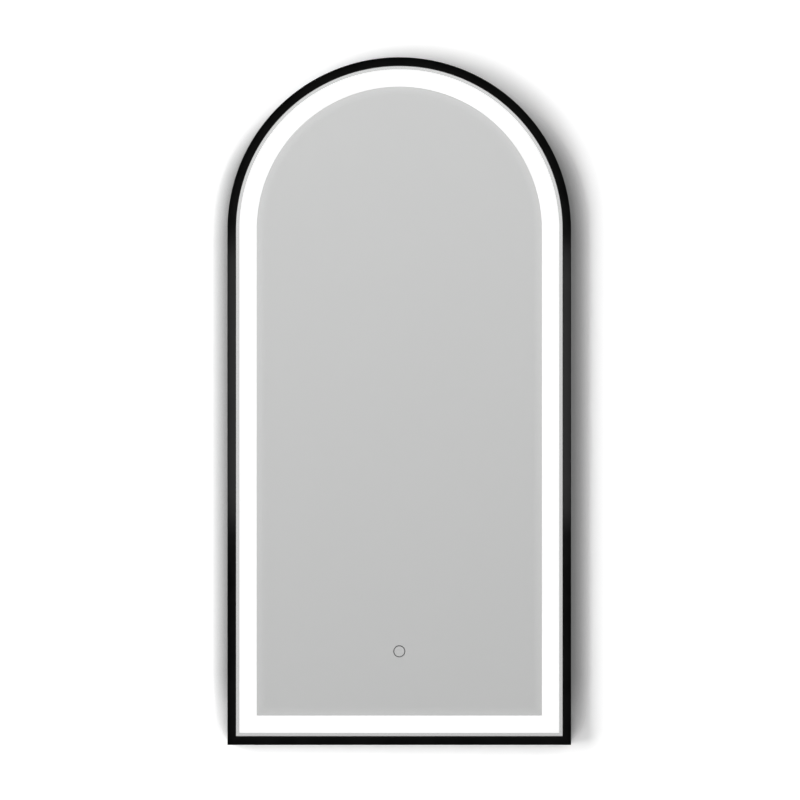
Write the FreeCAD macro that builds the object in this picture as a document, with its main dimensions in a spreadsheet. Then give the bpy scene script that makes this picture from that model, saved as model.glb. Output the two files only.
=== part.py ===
import FreeCAD, Part
import math
import operator
import os
import Sketcher
from FreeCAD import Vector

# Arched bathroom mirror with a lit frosted band, a touch switch and a wall rail. Millimetres.
# The mirror faces -Y and +Z is up. The wall is the plane Y = 0, and "off the wall" means -Y.
# The arch's centre is on the origin, which is also midway between the two wall screws.
# An "inset" is a distance inward from the frame's outer edge, the same all the way round.

DRIVING_SIZES = (
    # alias, value, what it is
    ("mirror_width", 500, "width over the frame"),
    ("mirror_height", 1000, "height over the frame"),
    ("wall_gap", 2, "wall to the frame's rear edge"),
    ("frame_depth", 38, "frame, rear edge to front face"),
    ("frame_face", 12.5, "width of the front face"),
    ("frame_wall", 2, "thickness of the outer wall"),
    ("lip_thickness", 2, "thickness of the front lip"),
    ("edge_round", 1.2, "radius of the front outer edge"),
    ("rear_recess", 7, "frame's rear edge to the panel"),
    ("flange_reach", 14, "inset of the rear flange's free edge"),
    ("flange_thickness", 1.5, "thickness of the rear flange"),
    ("rib_reach", 7.5, "inset of the key rib's free edge"),
    ("rib_thickness", 1.2, "thickness of the key rib"),
    ("key_thickness", 2.5, "thickness of a corner key"),
    ("key_width", 8, "width of a corner key's legs"),
    ("key_leg", 32, "length of a corner key's legs"),
    ("key_clearance", 0.1, "corner key to its slot, each side"),
    ("key_screw_place", 21, "corner key's outer corner to its screws"),
    ("glass_thickness", 5, "thickness of the mirror glass"),
    ("glass_clearance", 1.5, "glass edge to the frame's wall"),
    ("gasket_thickness", 1, "thickness of the front gasket"),
    ("gasket_reach", 10, "inset of the gasket's free edge"),
    ("silver_thickness", 0.2, "thickness of the silver and its paint"),
    ("margin_reach", 17.5, "inset of the lit band's outer edge"),
    ("lit_band", 25, "width of the lit band"),
    ("block_length", 30, "length of a setting block"),
    ("block_place", 120, "glass corner to a setting block"),
    ("tape_thickness", 0.8, "thickness of the foam tape"),
    ("tape_setback", 0.5, "foam tape behind the silver's edge"),
    ("diffuser_thickness", 1.5, "thickness of the opal sheet"),
    ("channel_sheet", 1, "thickness of the light channel's sheet"),
    ("channel_outer", 14.5, "inset of the channel's outer wall"),
    ("channel_inner", 45.5, "inset of the channel's inner wall"),
    ("channel_lip", 4, "width of the channel's two lips"),
    ("strip_width", 10, "width of the light strip"),
    ("strip_thickness", 0.3, "thickness of the light strip"),
    ("chip_length", 3.5, "light chip, along the strip"),
    ("chip_width", 2.8, "light chip, across the strip"),
    ("chip_height", 0.7, "light chip, off the strip"),
    ("chip_pitch", 16.7, "spacing of the light chips"),
    ("rivet_pitch", 190, "spacing of the channel's rivets"),
    ("rivet_setback", 4.5, "channel's outer wall to its rivets"),
    ("rivet_radius", 1.6, "radius of a rivet's shank"),
    ("rivet_head", 3.2, "radius of a rivet's head"),
    ("rivet_dome", 1, "height of a rivet's head and tail"),
    ("panel_thickness", 1.2, "thickness of the rear panel"),
    ("panel_clearance", 0.4, "panel edge to the frame's wall"),
    ("panel_screw_pitch", 120, "spacing of the panel's screws"),
    ("panel_screw_inset", 10.4, "inset of the panel's screws"),
    ("panel_screw_radius", 1.95, "radius of a panel screw's shank"),
    ("panel_screw_head", 3.8, "radius of a panel screw's head"),
    ("panel_screw_dome", 2.2, "height of a panel screw's head"),
    ("panel_screw_length", 6.5, "length of a panel screw under its head"),
    ("small_screw_radius", 1.45, "radius of an M3 screw's shank"),
    ("small_screw_head", 2.75, "radius of an M3 screw's head"),
    ("small_screw_dome", 1.8, "height of an M3 screw's head"),
    ("hole_clearance", 0.15, "screw or rivet to its hole, in radius"),
    ("rail_length", 300, "length of the wall rail"),
    ("rail_height", 24, "height of the rail's wall flange"),
    ("rail_sheet", 1.5, "thickness of the rail and the hangers"),
    ("fold_radius", 0.4, "inside radius of the rail's and the hangers' folds"),
    ("rail_depth", 8, "wall to the front of the rail's lip"),
    ("rail_lip", 12, "height of the rail's lip"),
    ("wall_screw_spacing", 240, "spacing of the two wall screws"),
    ("wall_hole", 2.75, "radius of a wall screw's hole"),
    ("hanger_width", 40, "width of a hanger"),
    ("hanger_spacing", 250, "spacing of the two hangers"),
    ("hanger_base", 18, "height of a hanger's riveted face"),
    ("hook_clearance", 1, "hanger's hook to the rail's lip"),
    ("hook_drop", 10.5, "hook's reach below the lip's top edge"),
    ("hanger_rivet_spacing", 24, "spacing of a hanger's two rivets"),
    ("bumper_radius", 6, "radius of a wall bumper"),
    ("bumper_edge", 1, "bevel round a bumper's wall end"),
    ("bumper_spacing", 380, "spacing of the two bumpers"),
    ("bumper_height", 50, "frame's foot to the bumpers"),
    ("box_height_up", 205, "frame's foot to the wiring box's middle"),
    ("box_width", 110, "width of the wiring box"),
    ("box_height", 56, "height of the wiring box"),
    ("box_depth", 17.8, "depth of the wiring box"),
    ("box_wall", 1.5, "wall of the wiring box"),
    ("box_boss", 3.5, "radius of the wiring box's screw bosses"),
    ("box_boss_edge", 4.4, "wiring box's outer faces to its bosses' middles"),
    ("window_width", 84, "width of the panel's window"),
    ("window_height", 44, "height of the panel's window"),
    ("cover_width", 124, "width of the wiring cover"),
    ("cover_height", 70, "height of the wiring cover"),
    ("cover_thickness", 1, "thickness of the wiring cover"),
    ("cover_round", 6, "corner radius of the wiring cover"),
    ("grommet_bore", 3.5, "radius of the cable inlet"),
    ("grommet_neck", 6, "radius of the grommet in the cover"),
    ("grommet_flange", 8.5, "radius of the grommet's flanges"),
    ("grommet_rear", 2.5, "thickness of the grommet's rear flange"),
    ("grommet_front", 2, "thickness of the grommet's inner flange"),
    ("grommet_place", 28, "mirror's middle to the grommet"),
    ("grommet_drop", 7, "wiring box's middle down to the grommet"),
    ("block_width", 30, "width of the terminal block"),
    ("block_height", 24, "height of the terminal block"),
    ("block_depth", 13, "depth of the terminal block"),
    ("block_middle", 14, "mirror's middle to the terminal block's"),
    ("pole_spacing", 9, "spacing of the terminal block's poles"),
    ("pole_rows", 13, "spacing of its two rows of screws"),
    ("pole_well", 2.3, "radius of a terminal screw's well"),
    ("pole_well_depth", 5, "depth of a terminal screw's well"),
    ("pole_screw", 1.9, "radius of a terminal screw's head"),
    ("pole_screw_height", 2, "height of a terminal screw's head"),
    ("driver_height_up", 295, "frame's foot to the driver's middle"),
    ("driver_width", 170, "width of the driver's case"),
    ("driver_height", 46, "height of the driver's case"),
    ("driver_depth", 15.8, "depth of the driver's case"),
    ("driver_wall", 1.5, "wall of the driver's case"),
    ("driver_lid", 1.2, "thickness of the driver's lid"),
    ("driver_post", 3, "radius of the driver's screw posts"),
    ("driver_post_edge", 5, "case's outer faces to its screw posts"),
    ("ear_length", 12, "length of the driver's fixing ears"),
    ("ear_height", 20, "height of the driver's fixing ears"),
    ("board_width", 146, "width of the driver's board"),
    ("board_height", 38, "height of the driver's board"),
    ("board_thickness", 1.6, "thickness of a circuit board"),
    ("board_lift", 3.3, "driver's case floor to its board"),
    ("board_foot", 2.5, "radius of the board's feet"),
    ("board_foot_edge", 5, "board's edges to its feet"),
    ("cover_screw_length", 7.2, "length of a cover screw's shank"),
    ("lid_screw_length", 9.1, "length of a lid screw's shank"),
    ("coil_width", 24, "width of the transformer"),
    ("coil_height", 20, "height of the transformer"),
    ("coil_depth", 8.4, "transformer, off the board"),
    ("coil_core", 6, "transformer's core limb, along the board"),
    ("can_radius", 4, "radius of a capacitor"),
    ("can_length", 8.6, "length of a capacitor"),
    ("can_spacing", 12, "spacing of the capacitors"),
    ("touch_height_up", 136, "frame's foot to the touch ring"),
    ("touch_ring", 8.05, "radius of the touch ring's middle line"),
    ("touch_line", 1.45, "width of the touch ring's line"),
    ("touch_width", 46, "width of the touch switch"),
    ("touch_height", 30, "height of the touch switch"),
    ("touch_depth", 9, "depth of the touch switch"),
    ("touch_wall", 1.5, "wall of the touch switch"),
    ("touch_pad", 0.5, "thickness of its adhesive pad"),
    ("electrode_radius", 11, "radius of the sensing plate"),
    ("electrode_gap", 1, "sensing plate to the adhesive pad"),
    ("demister_width", 320, "width of the demister pad"),
    ("demister_height", 420, "height of the demister pad"),
    ("demister_thickness", 0.4, "thickness of the demister pad"),
    ("demister_drop", 150, "arch's centre down to the pad's middle"),
    ("pad_block_width", 24, "width of the pad's connector"),
    ("pad_block_height", 14, "height of the pad's connector"),
    ("pad_block_depth", 6, "depth of the pad's connector"),
    ("pad_block_place", 112, "mirror's middle to the pad's connector"),
    ("pad_block_edge", 10, "pad's lower edge to its connector's middle"),
    ("clip_width", 9, "cable clip, along the lead"),
    ("clip_wall", 1.8, "cable clip, round the lead"),
    ("stud_radius", 2, "radius of the earth stud"),
    ("stud_length", 8, "earth stud, off the panel's front"),
    ("stud_head", 3.6, "radius of the earth stud's head"),
    ("stud_dome", 0.8, "height of the earth stud's head"),
    ("stud_side", 100, "mirror's middle to the earth stud"),
    ("stud_drop", 50, "wiring box's middle down to the earth stud"),
    ("lug_radius", 4, "radius of the earth lug's ring"),
    ("lug_thickness", 0.8, "thickness of the earth lug's ring"),
    ("lug_barrel", 7, "length of the earth lug's barrel"),
    ("lug_neck", 1.5, "earth lug's ring to its barrel"),
    ("nut_radius", 4.04, "radius over the earth nut's corners"),
    ("nut_height", 3.2, "height of the earth nut"),
    ("mains_lead", 5, "diameter of the lead to the driver"),
    ("sensor_lead", 4, "diameter of the lead to the touch switch"),
    ("light_lead", 3.6, "diameter of the lead to the light strip"),
    ("demister_lead", 4, "diameter of the lead to the demister"),
    ("earth_lead", 3, "diameter of the earth lead"),
    ("lead_lift", 1.8, "leads off the panel"),
    ("lead_swing", 60, "how far a lead swings out past the piece that it leaves"),
    ("light_lead_rise", 36, "channel's eyelet up to the light strip lead's bend"),
    ("lead_clearance", 0.2, "lead to its hole, in radius"),
    ("connector_width", 9, "light strip's connector, along the strip"),
    ("connector_height", 5, "light strip's connector, off the strip"),
    ("connector_steps", 4, "chip spacings from the middle to the connector"),
    ("eyelet_wall", 1.4, "wall of the channel's eyelet"),
    ("eyelet_flange", 1.2, "step and thickness of the eyelet's flanges"),
)

OPERATIONS = {"+": operator.add, "-": operator.sub, "*": operator.mul, "/": operator.truediv}


class Size:
    """A size as the sheet gives it: the expression's text and its present value."""

    def __init__(self, text, value):
        self.text = text
        self.value = value

    def joined(self, sign, other, turned=False):
        left, right = (as_size(other), self) if turned else (self, as_size(other))
        text = "(%s %s %s)" % (left.text, sign, right.text)
        return Size(text, OPERATIONS[sign](left.value, right.value))

    def __add__(self, other):
        return self.joined("+", other)

    def __radd__(self, other):
        return self.joined("+", other, turned=True)

    def __sub__(self, other):
        return self.joined("-", other)

    def __rsub__(self, other):
        return self.joined("-", other, turned=True)

    def __mul__(self, other):
        return self.joined("*", other)

    def __rmul__(self, other):
        return self.joined("*", other, turned=True)

    def __truediv__(self, other):
        return self.joined("/", other)

    def __neg__(self):
        return self.joined("-", 0, turned=True)


def as_size(number):
    """A plain number becomes a size with no alias in it."""
    return number if isinstance(number, Size) else Size(repr(float(number)), float(number))


doc = FreeCAD.newDocument("LightedMirror")
sheet = doc.addObject("Spreadsheet::Sheet", "Sizes")
for row, (alias, number, note) in enumerate(DRIVING_SIZES, start=1):
    sheet.set("A%d" % row, note)
    sheet.set("B%d" % row, str(number))
    sheet.setAlias("B%d" % row, alias)
doc.recompute()


class Named:
    """The sheet's sizes by alias, such as mm.frame_wall."""

    def __getattr__(self, alias):
        return Size("Sizes." + alias, float(sheet.get(alias)))


mm = Named()

# Places across the front.
half_width = mm.mirror_width / 2
leg_length = mm.mirror_height - half_width          # arch's centre down to the frame's foot
glass_inset = mm.frame_wall + mm.glass_clearance
panel_inset = mm.frame_wall + mm.panel_clearance
band_reach = mm.margin_reach + mm.lit_band
diffuser_outer = mm.channel_outer + mm.channel_sheet - mm.channel_lip
diffuser_inner = mm.channel_inner - mm.channel_sheet + mm.channel_lip
strip_middle = (mm.channel_outer + mm.channel_inner) / 2
rivet_line = mm.channel_outer + mm.rivet_setback, mm.rivet_pitch
rivet_hole = mm.rivet_radius + mm.hole_clearance

# Distances off the wall.
frame_back = mm.wall_gap
frame_front = frame_back + mm.frame_depth
panel_back = frame_back + mm.rear_recess
panel_front = panel_back + mm.panel_thickness
flange_front = panel_front + mm.flange_thickness
key_back = flange_front + mm.key_clearance
rib_back = key_back + mm.key_thickness + mm.key_clearance
lip_back = frame_front - mm.lip_thickness
glass_front = lip_back - mm.gasket_thickness
glass_back = glass_front - mm.glass_thickness
silver_back = glass_back - mm.silver_thickness
tape_back = silver_back - mm.tape_thickness
diffuser_back = tape_back - mm.diffuser_thickness
channel_lip_back = diffuser_back - mm.channel_sheet
channel_floor = panel_front + mm.channel_sheet
strip_front = channel_floor + mm.strip_thickness

# Heights of what stands on the panel.
box_z = mm.box_height_up - leg_length
driver_z = mm.driver_height_up - leg_length
touch_z = mm.touch_height_up - leg_length
demister_z = -mm.demister_drop


def bind(thing, path, size):
    """Ties one property to the sheet."""
    thing.setExpression(path, as_size(size).text)


def origin_part(body, role):
    """One of a body's own origin planes or axes."""
    return next(part for part in body.Origin.OriginFeatures if part.Role == role)


def new_body(label):
    body = doc.addObject("PartDesign::Body", label)
    body.Label = label
    return body


class Outline:
    """A sketch on an origin plane of its body, set off from that plane.

    On XZ_Plane its two directions are X and Z and it is set off from the wall, on YZ_Plane they
    are Y and Z and it is set off along X, and on XY_Plane they are X and Y, set off along Z.
    """

    def __init__(self, body, off, role="XZ_Plane"):
        self.sketch = body.newObject("Sketcher::SketchObject", body.Name + "_outline")
        self.sketch.AttachmentSupport = [(origin_part(body, role), "")]
        self.sketch.MapMode = "FlatFace"
        bind(self.sketch, "AttachmentOffset.Base.z", off)

    def tie(self, kind, size, *where):
        """A driven constraint of this kind, bound to a size."""
        size = as_size(size)
        index = self.sketch.addConstraint(Sketcher.Constraint(kind, *where, size.value))
        name = "%s%d" % (kind, index)
        self.sketch.renameConstraint(index, name)
        bind(self.sketch, "Constraints." + name, size)

    def rule(self, kind, *where):
        """A constraint with no size."""
        self.sketch.addConstraint(Sketcher.Constraint(kind, *where))

    def at(self, edge, end, across, up):
        """Holds an edge's end (1 start, 2 end, 3 centre) at a place."""
        self.tie("DistanceX", across, -1, 1, edge, end)
        self.tie("DistanceY", up, -1, 1, edge, end)

    def line(self, start, end, helper=False):
        ends = [Vector(as_size(across).value, as_size(up).value, 0) for across, up in (start, end)]
        return self.sketch.addGeometry(Part.LineSegment(*ends), helper)

    def arc(self, across, up, radius, first, last):
        middle = Vector(as_size(across).value, as_size(up).value, 0)
        circle = Part.Circle(middle, Vector(0, 0, 1), as_size(radius).value)
        angles = math.radians(first), math.radians(last)
        return self.sketch.addGeometry(Part.ArcOfCircle(circle, *angles), False)

    def polygon(self, points):
        edges = [self.line(points[i], points[(i + 1) % len(points)]) for i in range(len(points))]
        for i, edge in enumerate(edges):
            self.rule("Coincident", edge, 2, edges[(i + 1) % len(edges)], 1)
            self.at(edge, 1, *points[i])
        return self

    def rectangle(self, across, up, width, height):
        left, right = across - width / 2, across + width / 2
        low, high = up - height / 2, up + height / 2
        return self.polygon([(left, low), (right, low), (right, high), (left, high)])

    def rounded_rectangle(self, across, up, width, height, radius):
        """Four corner arcs on centres of their own, joined by four straight sides."""
        reach_x, reach_z = width / 2 - radius, height / 2 - radius
        arcs = []
        for quarter, (side, rise) in enumerate(((1, 1), (-1, 1), (-1, -1), (1, -1))):
            middle = across + side * reach_x, up + rise * reach_z
            arc = self.arc(*middle, radius, 90 * quarter, 90 * quarter + 90)
            self.at(arc, 3, *middle)
            self.tie("Radius", radius, arc)
            self.rule("Horizontal" if quarter % 2 == 0 else "Vertical", arc, 1, arc, 3)
            self.rule("Vertical" if quarter % 2 == 0 else "Horizontal", arc, 2, arc, 3)
            arcs.append(arc)
        for i, arc in enumerate(arcs):
            following = arcs[(i + 1) % 4]
            ends = [self.sketch.getPoint(arc, 2), self.sketch.getPoint(following, 1)]
            edge = self.line((ends[0].x, ends[0].y), (ends[1].x, ends[1].y))
            self.rule("Coincident", edge, 1, arc, 2)
            self.rule("Coincident", edge, 2, following, 1)
        return self

    def circle(self, across, up, radius):
        middle = Vector(as_size(across).value, as_size(up).value, 0)
        shape = Part.Circle(middle, Vector(0, 0, 1), as_size(radius).value)
        edge = self.sketch.addGeometry(shape, False)
        self.at(edge, 3, across, up)
        self.tie("Radius", radius, edge)
        return self

    def circles(self, places, radius):
        for across, up in places:
            self.circle(across, up, radius)
        return self

    def half_round(self, radius):
        """The arch itself, from springing to springing about the origin."""
        arc = self.arc(0, 0, radius, 0, 180)
        self.rule("Coincident", arc, 3, -1, 1)
        self.tie("Radius", radius, arc)
        self.tie("DistanceY", 0, -1, 1, arc, 1)
        self.tie("DistanceY", 0, -1, 1, arc, 2)
        return arc

    def leg(self, arc, end, side, inset):
        """A straight leg from one end of the arch down to its inset foot."""
        across, foot = side * (half_width - inset), inset - leg_length
        edge = self.line((across, 0), (across, foot))
        self.rule("Coincident", edge, 1, arc, end)
        self.rule("Vertical", edge)
        self.tie("DistanceY", foot, -1, 1, edge, 2)
        return edge

    def arch(self, inset):
        """The whole closed outline at one inset: arch, two legs and a flat foot."""
        inset = as_size(inset)
        arc = self.half_round(half_width - inset)
        right, left = self.leg(arc, 1, 1, inset), self.leg(arc, 2, -1, inset)
        foot = inset - leg_length
        edge = self.line((inset - half_width, foot), (half_width - inset, foot))
        self.rule("Coincident", edge, 1, left, 2)
        self.rule("Coincident", edge, 2, right, 2)
        return self

    def mitred_arch(self, outer, inner):
        """Arch and legs between two insets, each foot cut along the corner's mitre."""
        legs = []
        for inset in (as_size(outer), as_size(inner)):
            arc = self.half_round(half_width - inset)
            legs.append((self.leg(arc, 1, 1, inset), self.leg(arc, 2, -1, inset)))
        for side, index in ((1, 0), (-1, 1)):
            ends = [(side * (half_width - inset), inset - leg_length)
                    for inset in (as_size(outer), as_size(inner))]
            edge = self.line(*ends)
            self.rule("Coincident", edge, 1, legs[0][index], 2)
            self.rule("Coincident", edge, 2, legs[1][index], 2)
        return self

    def mitred_foot(self, outer, inner):
        """The foot between two insets, both ends cut along the corners' mitres."""
        ends = [(half_width - inset, inset - leg_length)
                for inset in (as_size(outer), as_size(inner))]
        (wide, low), (narrow, high) = ends
        return self.polygon([(-wide, low), (wide, low), (narrow, high), (-narrow, high)])


def pad(body, outline, length):
    """Adds the outline's prism, away from its origin plane."""
    feature = body.newObject("PartDesign::Pad", body.Name + "_pad")
    feature.Profile = outline.sketch
    bind(feature, "Length", length)
    body.Tip = feature
    return feature


def pocket(body, outline, length):
    """Cuts the outline's prism, back towards its origin plane."""
    feature = body.newObject("PartDesign::Pocket", body.Name + "_cut")
    feature.Profile = outline.sketch
    bind(feature, "Length", length)
    body.Tip = feature
    return feature


def turned(body, across, up, profile):
    """A body of revolution about a line along Y; profile lists (radius, distance off the wall)."""
    outline = Outline(body, up, role="XY_Plane")
    outline.polygon([(across + radius, -as_size(off)) for radius, off in profile])
    axis = outline.line((across, 0), (across, -frame_front), helper=True)
    outline.rule("Vertical", axis)
    outline.at(axis, 1, across, 0)
    outline.tie("DistanceY", -frame_front, -1, 1, axis, 2)
    feature = body.newObject("PartDesign::Revolution", body.Name + "_turned")
    feature.Profile = outline.sketch
    feature.ReferenceAxis = (outline.sketch, ["Axis0"])
    feature.Angle = 360
    body.Tip = feature
    return feature


def arch_count(inset, pitch):
    """How many pieces, from springing to springing, come nearest to a pitch over the arch."""
    return max(2, round(math.pi * (half_width - inset).value / pitch.value) + 1)


def leg_step(inset, pitch):
    """The even spacing down a leg that comes nearest to a pitch, and how many fit."""
    run = leg_length - inset
    count = max(2, round(run.value / pitch.value))
    return run / (count + 0.5), count


def foot_step(inset, pitch):
    """The even spacing along the foot that comes nearest to a pitch, and how many fit."""
    run = 2 * (half_width - inset)
    count = max(2, 2 * round(run.value / pitch.value / 2))
    return run / count, count


def arch_places(inset, pitch):
    count = arch_count(inset, pitch)
    angles = [math.pi * i / (count - 1) for i in range(count)]
    radius = half_width - inset
    return [(radius * math.cos(angle), radius * math.sin(angle)) for angle in angles]


def leg_places(inset, pitch):
    step, count = leg_step(inset, pitch)
    return [(side * (half_width - inset), -step * (i + 1)) for side in (-1, 1) for i in range(count)]


def foot_places(inset, pitch):
    step, count = foot_step(inset, pitch)
    return [(inset - half_width + step * (i + 0.5), inset - leg_length) for i in range(count)]


def places_round(inset, pitch):
    """Places at a steady inset over the arch, down both legs and along the foot."""
    return arch_places(inset, pitch) + leg_places(inset, pitch) + foot_places(inset, pitch)


def copies_round(body, seed, inset, pitch):
    """Copies of a feature at the places that places_round gives."""
    start = seed(half_width - inset, as_size(0), upright=True)
    over = body.newObject("PartDesign::PolarPattern", body.Name + "_arch")
    over.Originals = start
    over.Axis = (origin_part(body, "Y_Axis"), [""])
    over.Reversed = True
    over.Angle = 180
    over.Occurrences = arch_count(inset, pitch)
    body.Tip = over

    step, count = leg_step(inset, pitch)
    start = seed(half_width - inset, -step, upright=True)
    both = body.newObject("PartDesign::MultiTransform", body.Name + "_both")
    both.Originals = start
    down = body.newObject("PartDesign::LinearPattern", body.Name + "_legs")
    down.Direction = (origin_part(body, "Z_Axis"), [""])
    down.Reversed = True
    bind(down, "Length", step * (count - 1))
    down.Occurrences = count
    across = body.newObject("PartDesign::Mirrored", body.Name + "_sides")
    across.MirrorPlane = (origin_part(body, "YZ_Plane"), [""])
    both.Transformations = [down, across]
    body.Tip = both

    step, count = foot_step(inset, pitch)
    start = seed(inset - half_width + step / 2, inset - leg_length, upright=False)
    along = body.newObject("PartDesign::LinearPattern", body.Name + "_foot")
    along.Originals = start
    along.Direction = (origin_part(body, "X_Axis"), [""])
    bind(along, "Length", step * (count - 1))
    along.Occurrences = count
    body.Tip = along


def side_copy(body, originals):
    """The same features again on the other side of the mirror's middle."""
    mirrored = body.newObject("PartDesign::Mirrored", body.Name + "_mirrored")
    mirrored.Originals = originals
    mirrored.MirrorPlane = (origin_part(body, "YZ_Plane"), [""])
    body.Tip = mirrored


def screw_profile(under_head, head, dome, shank, length):
    """Half section of a domed screw whose head sits behind a face; its tip points off the wall."""
    top = under_head - dome
    return [(0, top), (0.55 * head, top), (0.88 * head, top + 0.28 * dome), (head, top + 0.7 * dome),
            (head, under_head), (shank, under_head), (shank, under_head + length),
            (0, under_head + length)]


def rivet_profile(low, high):
    """Half section of a rivet that clamps what lies between two distances off the wall."""
    head, dome, shank = mm.rivet_head, mm.rivet_dome, mm.rivet_radius
    return [(0, low - dome), (0.6 * head, low - dome), (head, low - 0.3 * dome), (head, low),
            (shank, low), (shank, high), (0.8 * head, high), (0.8 * head, high + 0.4 * dome),
            (0.5 * head, high + dome), (0, high + dome)]


# ---- Frame: one bent length of black extrusion, and a straight foot mitred to it ----

FRAME_SECTION = (
    # rear face off the wall, thickness, outer inset, inner inset
    (frame_back, mm.frame_depth, as_size(0), mm.frame_wall),
    (panel_front, mm.flange_thickness, mm.frame_wall, mm.flange_reach),
    (rib_back, mm.rib_thickness, mm.frame_wall, mm.rib_reach),
    (lip_back, mm.lip_thickness, mm.frame_wall, mm.frame_face),
)
panel_screw_hole = mm.panel_screw_radius + mm.hole_clearance
small_screw_hole = mm.small_screw_radius + mm.hole_clearance
key_middle = mm.frame_wall + mm.key_clearance + mm.key_width / 2
key_reach = mm.frame_wall + mm.key_clearance + mm.key_screw_place
panel_screw_line = mm.panel_screw_inset, mm.panel_screw_pitch


def round_front_edge(body):
    """Rounds every edge on the front face that lies on the frame's outer outline."""
    base = body.Tip
    radius = half_width.value
    foot = -leg_length.value

    def on_outline(point):
        over = point.z >= 0 and abs(math.hypot(point.x, point.z) - radius) < 1e-4
        beside = point.z <= 0 and abs(abs(point.x) - radius) < 1e-4
        return over or beside or abs(point.z - foot) < 1e-4

    names = []
    for index, edge in enumerate(base.Shape.Edges, start=1):
        points = [edge.valueAt(edge.FirstParameter + part * (edge.LastParameter - edge.FirstParameter))
                  for part in (0.1, 0.5, 0.9)]
        if all(abs(point.y + frame_front.value) < 1e-4 and on_outline(point) for point in points):
            names.append("Edge%d" % index)
    fillet = body.newObject("PartDesign::Fillet", body.Name + "_round")
    fillet.Base = (base, names)
    bind(fillet, "Radius", mm.edge_round)
    body.Tip = fillet


def corner_screw_places(side):
    """The two screws of one corner key: the first in the leg, the second in the foot."""
    return [(side * (half_width - key_middle), key_reach - leg_length),
            (side * (half_width - key_reach), key_middle - leg_length)]


frame_arch = new_body("frame_arch")
for back, thickness, outer, inner in FRAME_SECTION:
    pad(frame_arch, Outline(frame_arch, back).mitred_arch(outer, inner), thickness)
doc.recompute()
round_front_edge(frame_arch)
holes = Outline(frame_arch, flange_front)
holes.circles(arch_places(*panel_screw_line) + leg_places(*panel_screw_line), mm.panel_screw_radius)
holes.circles([corner_screw_places(side)[0] for side in (-1, 1)], small_screw_hole)
pocket(frame_arch, holes, mm.flange_thickness)

frame_foot = new_body("frame_bottom_rail")
for back, thickness, outer, inner in FRAME_SECTION:
    pad(frame_foot, Outline(frame_foot, back).mitred_foot(outer, inner), thickness)
doc.recompute()
round_front_edge(frame_foot)
holes = Outline(frame_foot, flange_front)
holes.circles(foot_places(*panel_screw_line), mm.panel_screw_radius)
holes.circles([corner_screw_places(side)[1] for side in (-1, 1)], small_screw_hole)
pocket(frame_foot, holes, mm.flange_thickness)

for label, side in (("corner_key_right", 1), ("corner_key_left", -1)):
    key = new_body(label)
    corner_x = half_width - mm.frame_wall - mm.key_clearance
    corner_z = mm.frame_wall + mm.key_clearance - leg_length
    steps = ((0, 0), (0, mm.key_leg), (mm.key_width, mm.key_leg), (mm.key_width, mm.key_width),
             (mm.key_leg, mm.key_width), (mm.key_leg, 0))
    corners = [(side * (corner_x - inward), corner_z + upward) for inward, upward in steps]
    pad(key, Outline(key, key_back).polygon(corners), mm.key_thickness)
    pocket(key, Outline(key, key_back + mm.key_thickness)
           .circles(corner_screw_places(side), mm.small_screw_radius), mm.key_thickness)

key_screws = new_body("corner_key_screws")
key_screw_length = key_back + mm.key_thickness - panel_back
profile = screw_profile(panel_back, mm.small_screw_head, mm.small_screw_dome,
                        mm.small_screw_radius, key_screw_length)
side_copy(key_screws, [turned(key_screws, *place, profile) for place in corner_screw_places(1)])

# ---- Glass: silvered behind but for the lit band and the touch ring, packed into the frame ----

glass = new_body("mirror_glass")
pad(glass, Outline(glass, glass_back).arch(glass_inset), mm.glass_thickness)

silver = new_body("mirror_silvering")
silvered = Outline(silver, silver_back).arch(glass_inset).arch(mm.margin_reach).arch(band_reach)
silvered.circle(0, touch_z, mm.touch_ring + mm.touch_line / 2)
silvered.circle(0, touch_z, mm.touch_ring - mm.touch_line / 2)
pad(silver, silvered, mm.silver_thickness)

gasket = new_body("front_gasket")
pad(gasket, Outline(gasket, glass_front).arch(glass_inset).arch(mm.gasket_reach),
    mm.gasket_thickness)

blocks = new_body("setting_blocks")
gap_middle = mm.frame_wall + mm.glass_clearance / 2
under = Outline(blocks, glass_back).rectangle(
    half_width - glass_inset - mm.block_place, gap_middle - leg_length,
    mm.block_length, mm.glass_clearance)
beside = Outline(blocks, glass_back).rectangle(
    half_width - gap_middle, glass_inset + mm.block_place - leg_length,
    mm.glass_clearance, mm.block_length)
side_copy(blocks, [pad(blocks, outline, mm.glass_thickness) for outline in (under, beside)])

# ---- Light box: a folded channel with the strip on its floor and an opal sheet over it ----

light_lead_hole = mm.light_lead / 2 + mm.eyelet_wall
light_lead_off = channel_floor + mm.eyelet_wall + mm.eyelet_flange + mm.light_lead / 2
connector_x = -mm.connector_steps * foot_step(strip_middle, mm.chip_pitch)[0]

channel = new_body("light_channel")
wall_outer = mm.channel_outer + mm.channel_sheet
wall_inner = mm.channel_inner - mm.channel_sheet
wall_height = channel_lip_back - channel_floor
for back, thickness, outer, inner in (
        (panel_front, mm.channel_sheet, mm.channel_outer, mm.channel_inner),
        (channel_floor, wall_height, mm.channel_outer, wall_outer),
        (channel_floor, wall_height, wall_inner, mm.channel_inner),
        (channel_lip_back, mm.channel_sheet, diffuser_outer, wall_outer),
        (channel_lip_back, mm.channel_sheet, wall_inner, diffuser_inner)):
    pad(channel, Outline(channel, back).arch(outer).arch(inner), thickness)
pocket(channel, Outline(channel, channel_floor).circles(places_round(*rivet_line), rivet_hole),
       mm.channel_sheet)
pocket(channel, Outline(channel, mm.channel_inner - leg_length, role="XY_Plane")
       .circle(connector_x, -light_lead_off, light_lead_hole), mm.channel_sheet)

rivets = new_body("channel_rivets")


def rivet_seed(across, up, upright):
    return [turned(rivets, across, up, rivet_profile(panel_back, channel_floor))]


copies_round(rivets, rivet_seed, *rivet_line)

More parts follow.
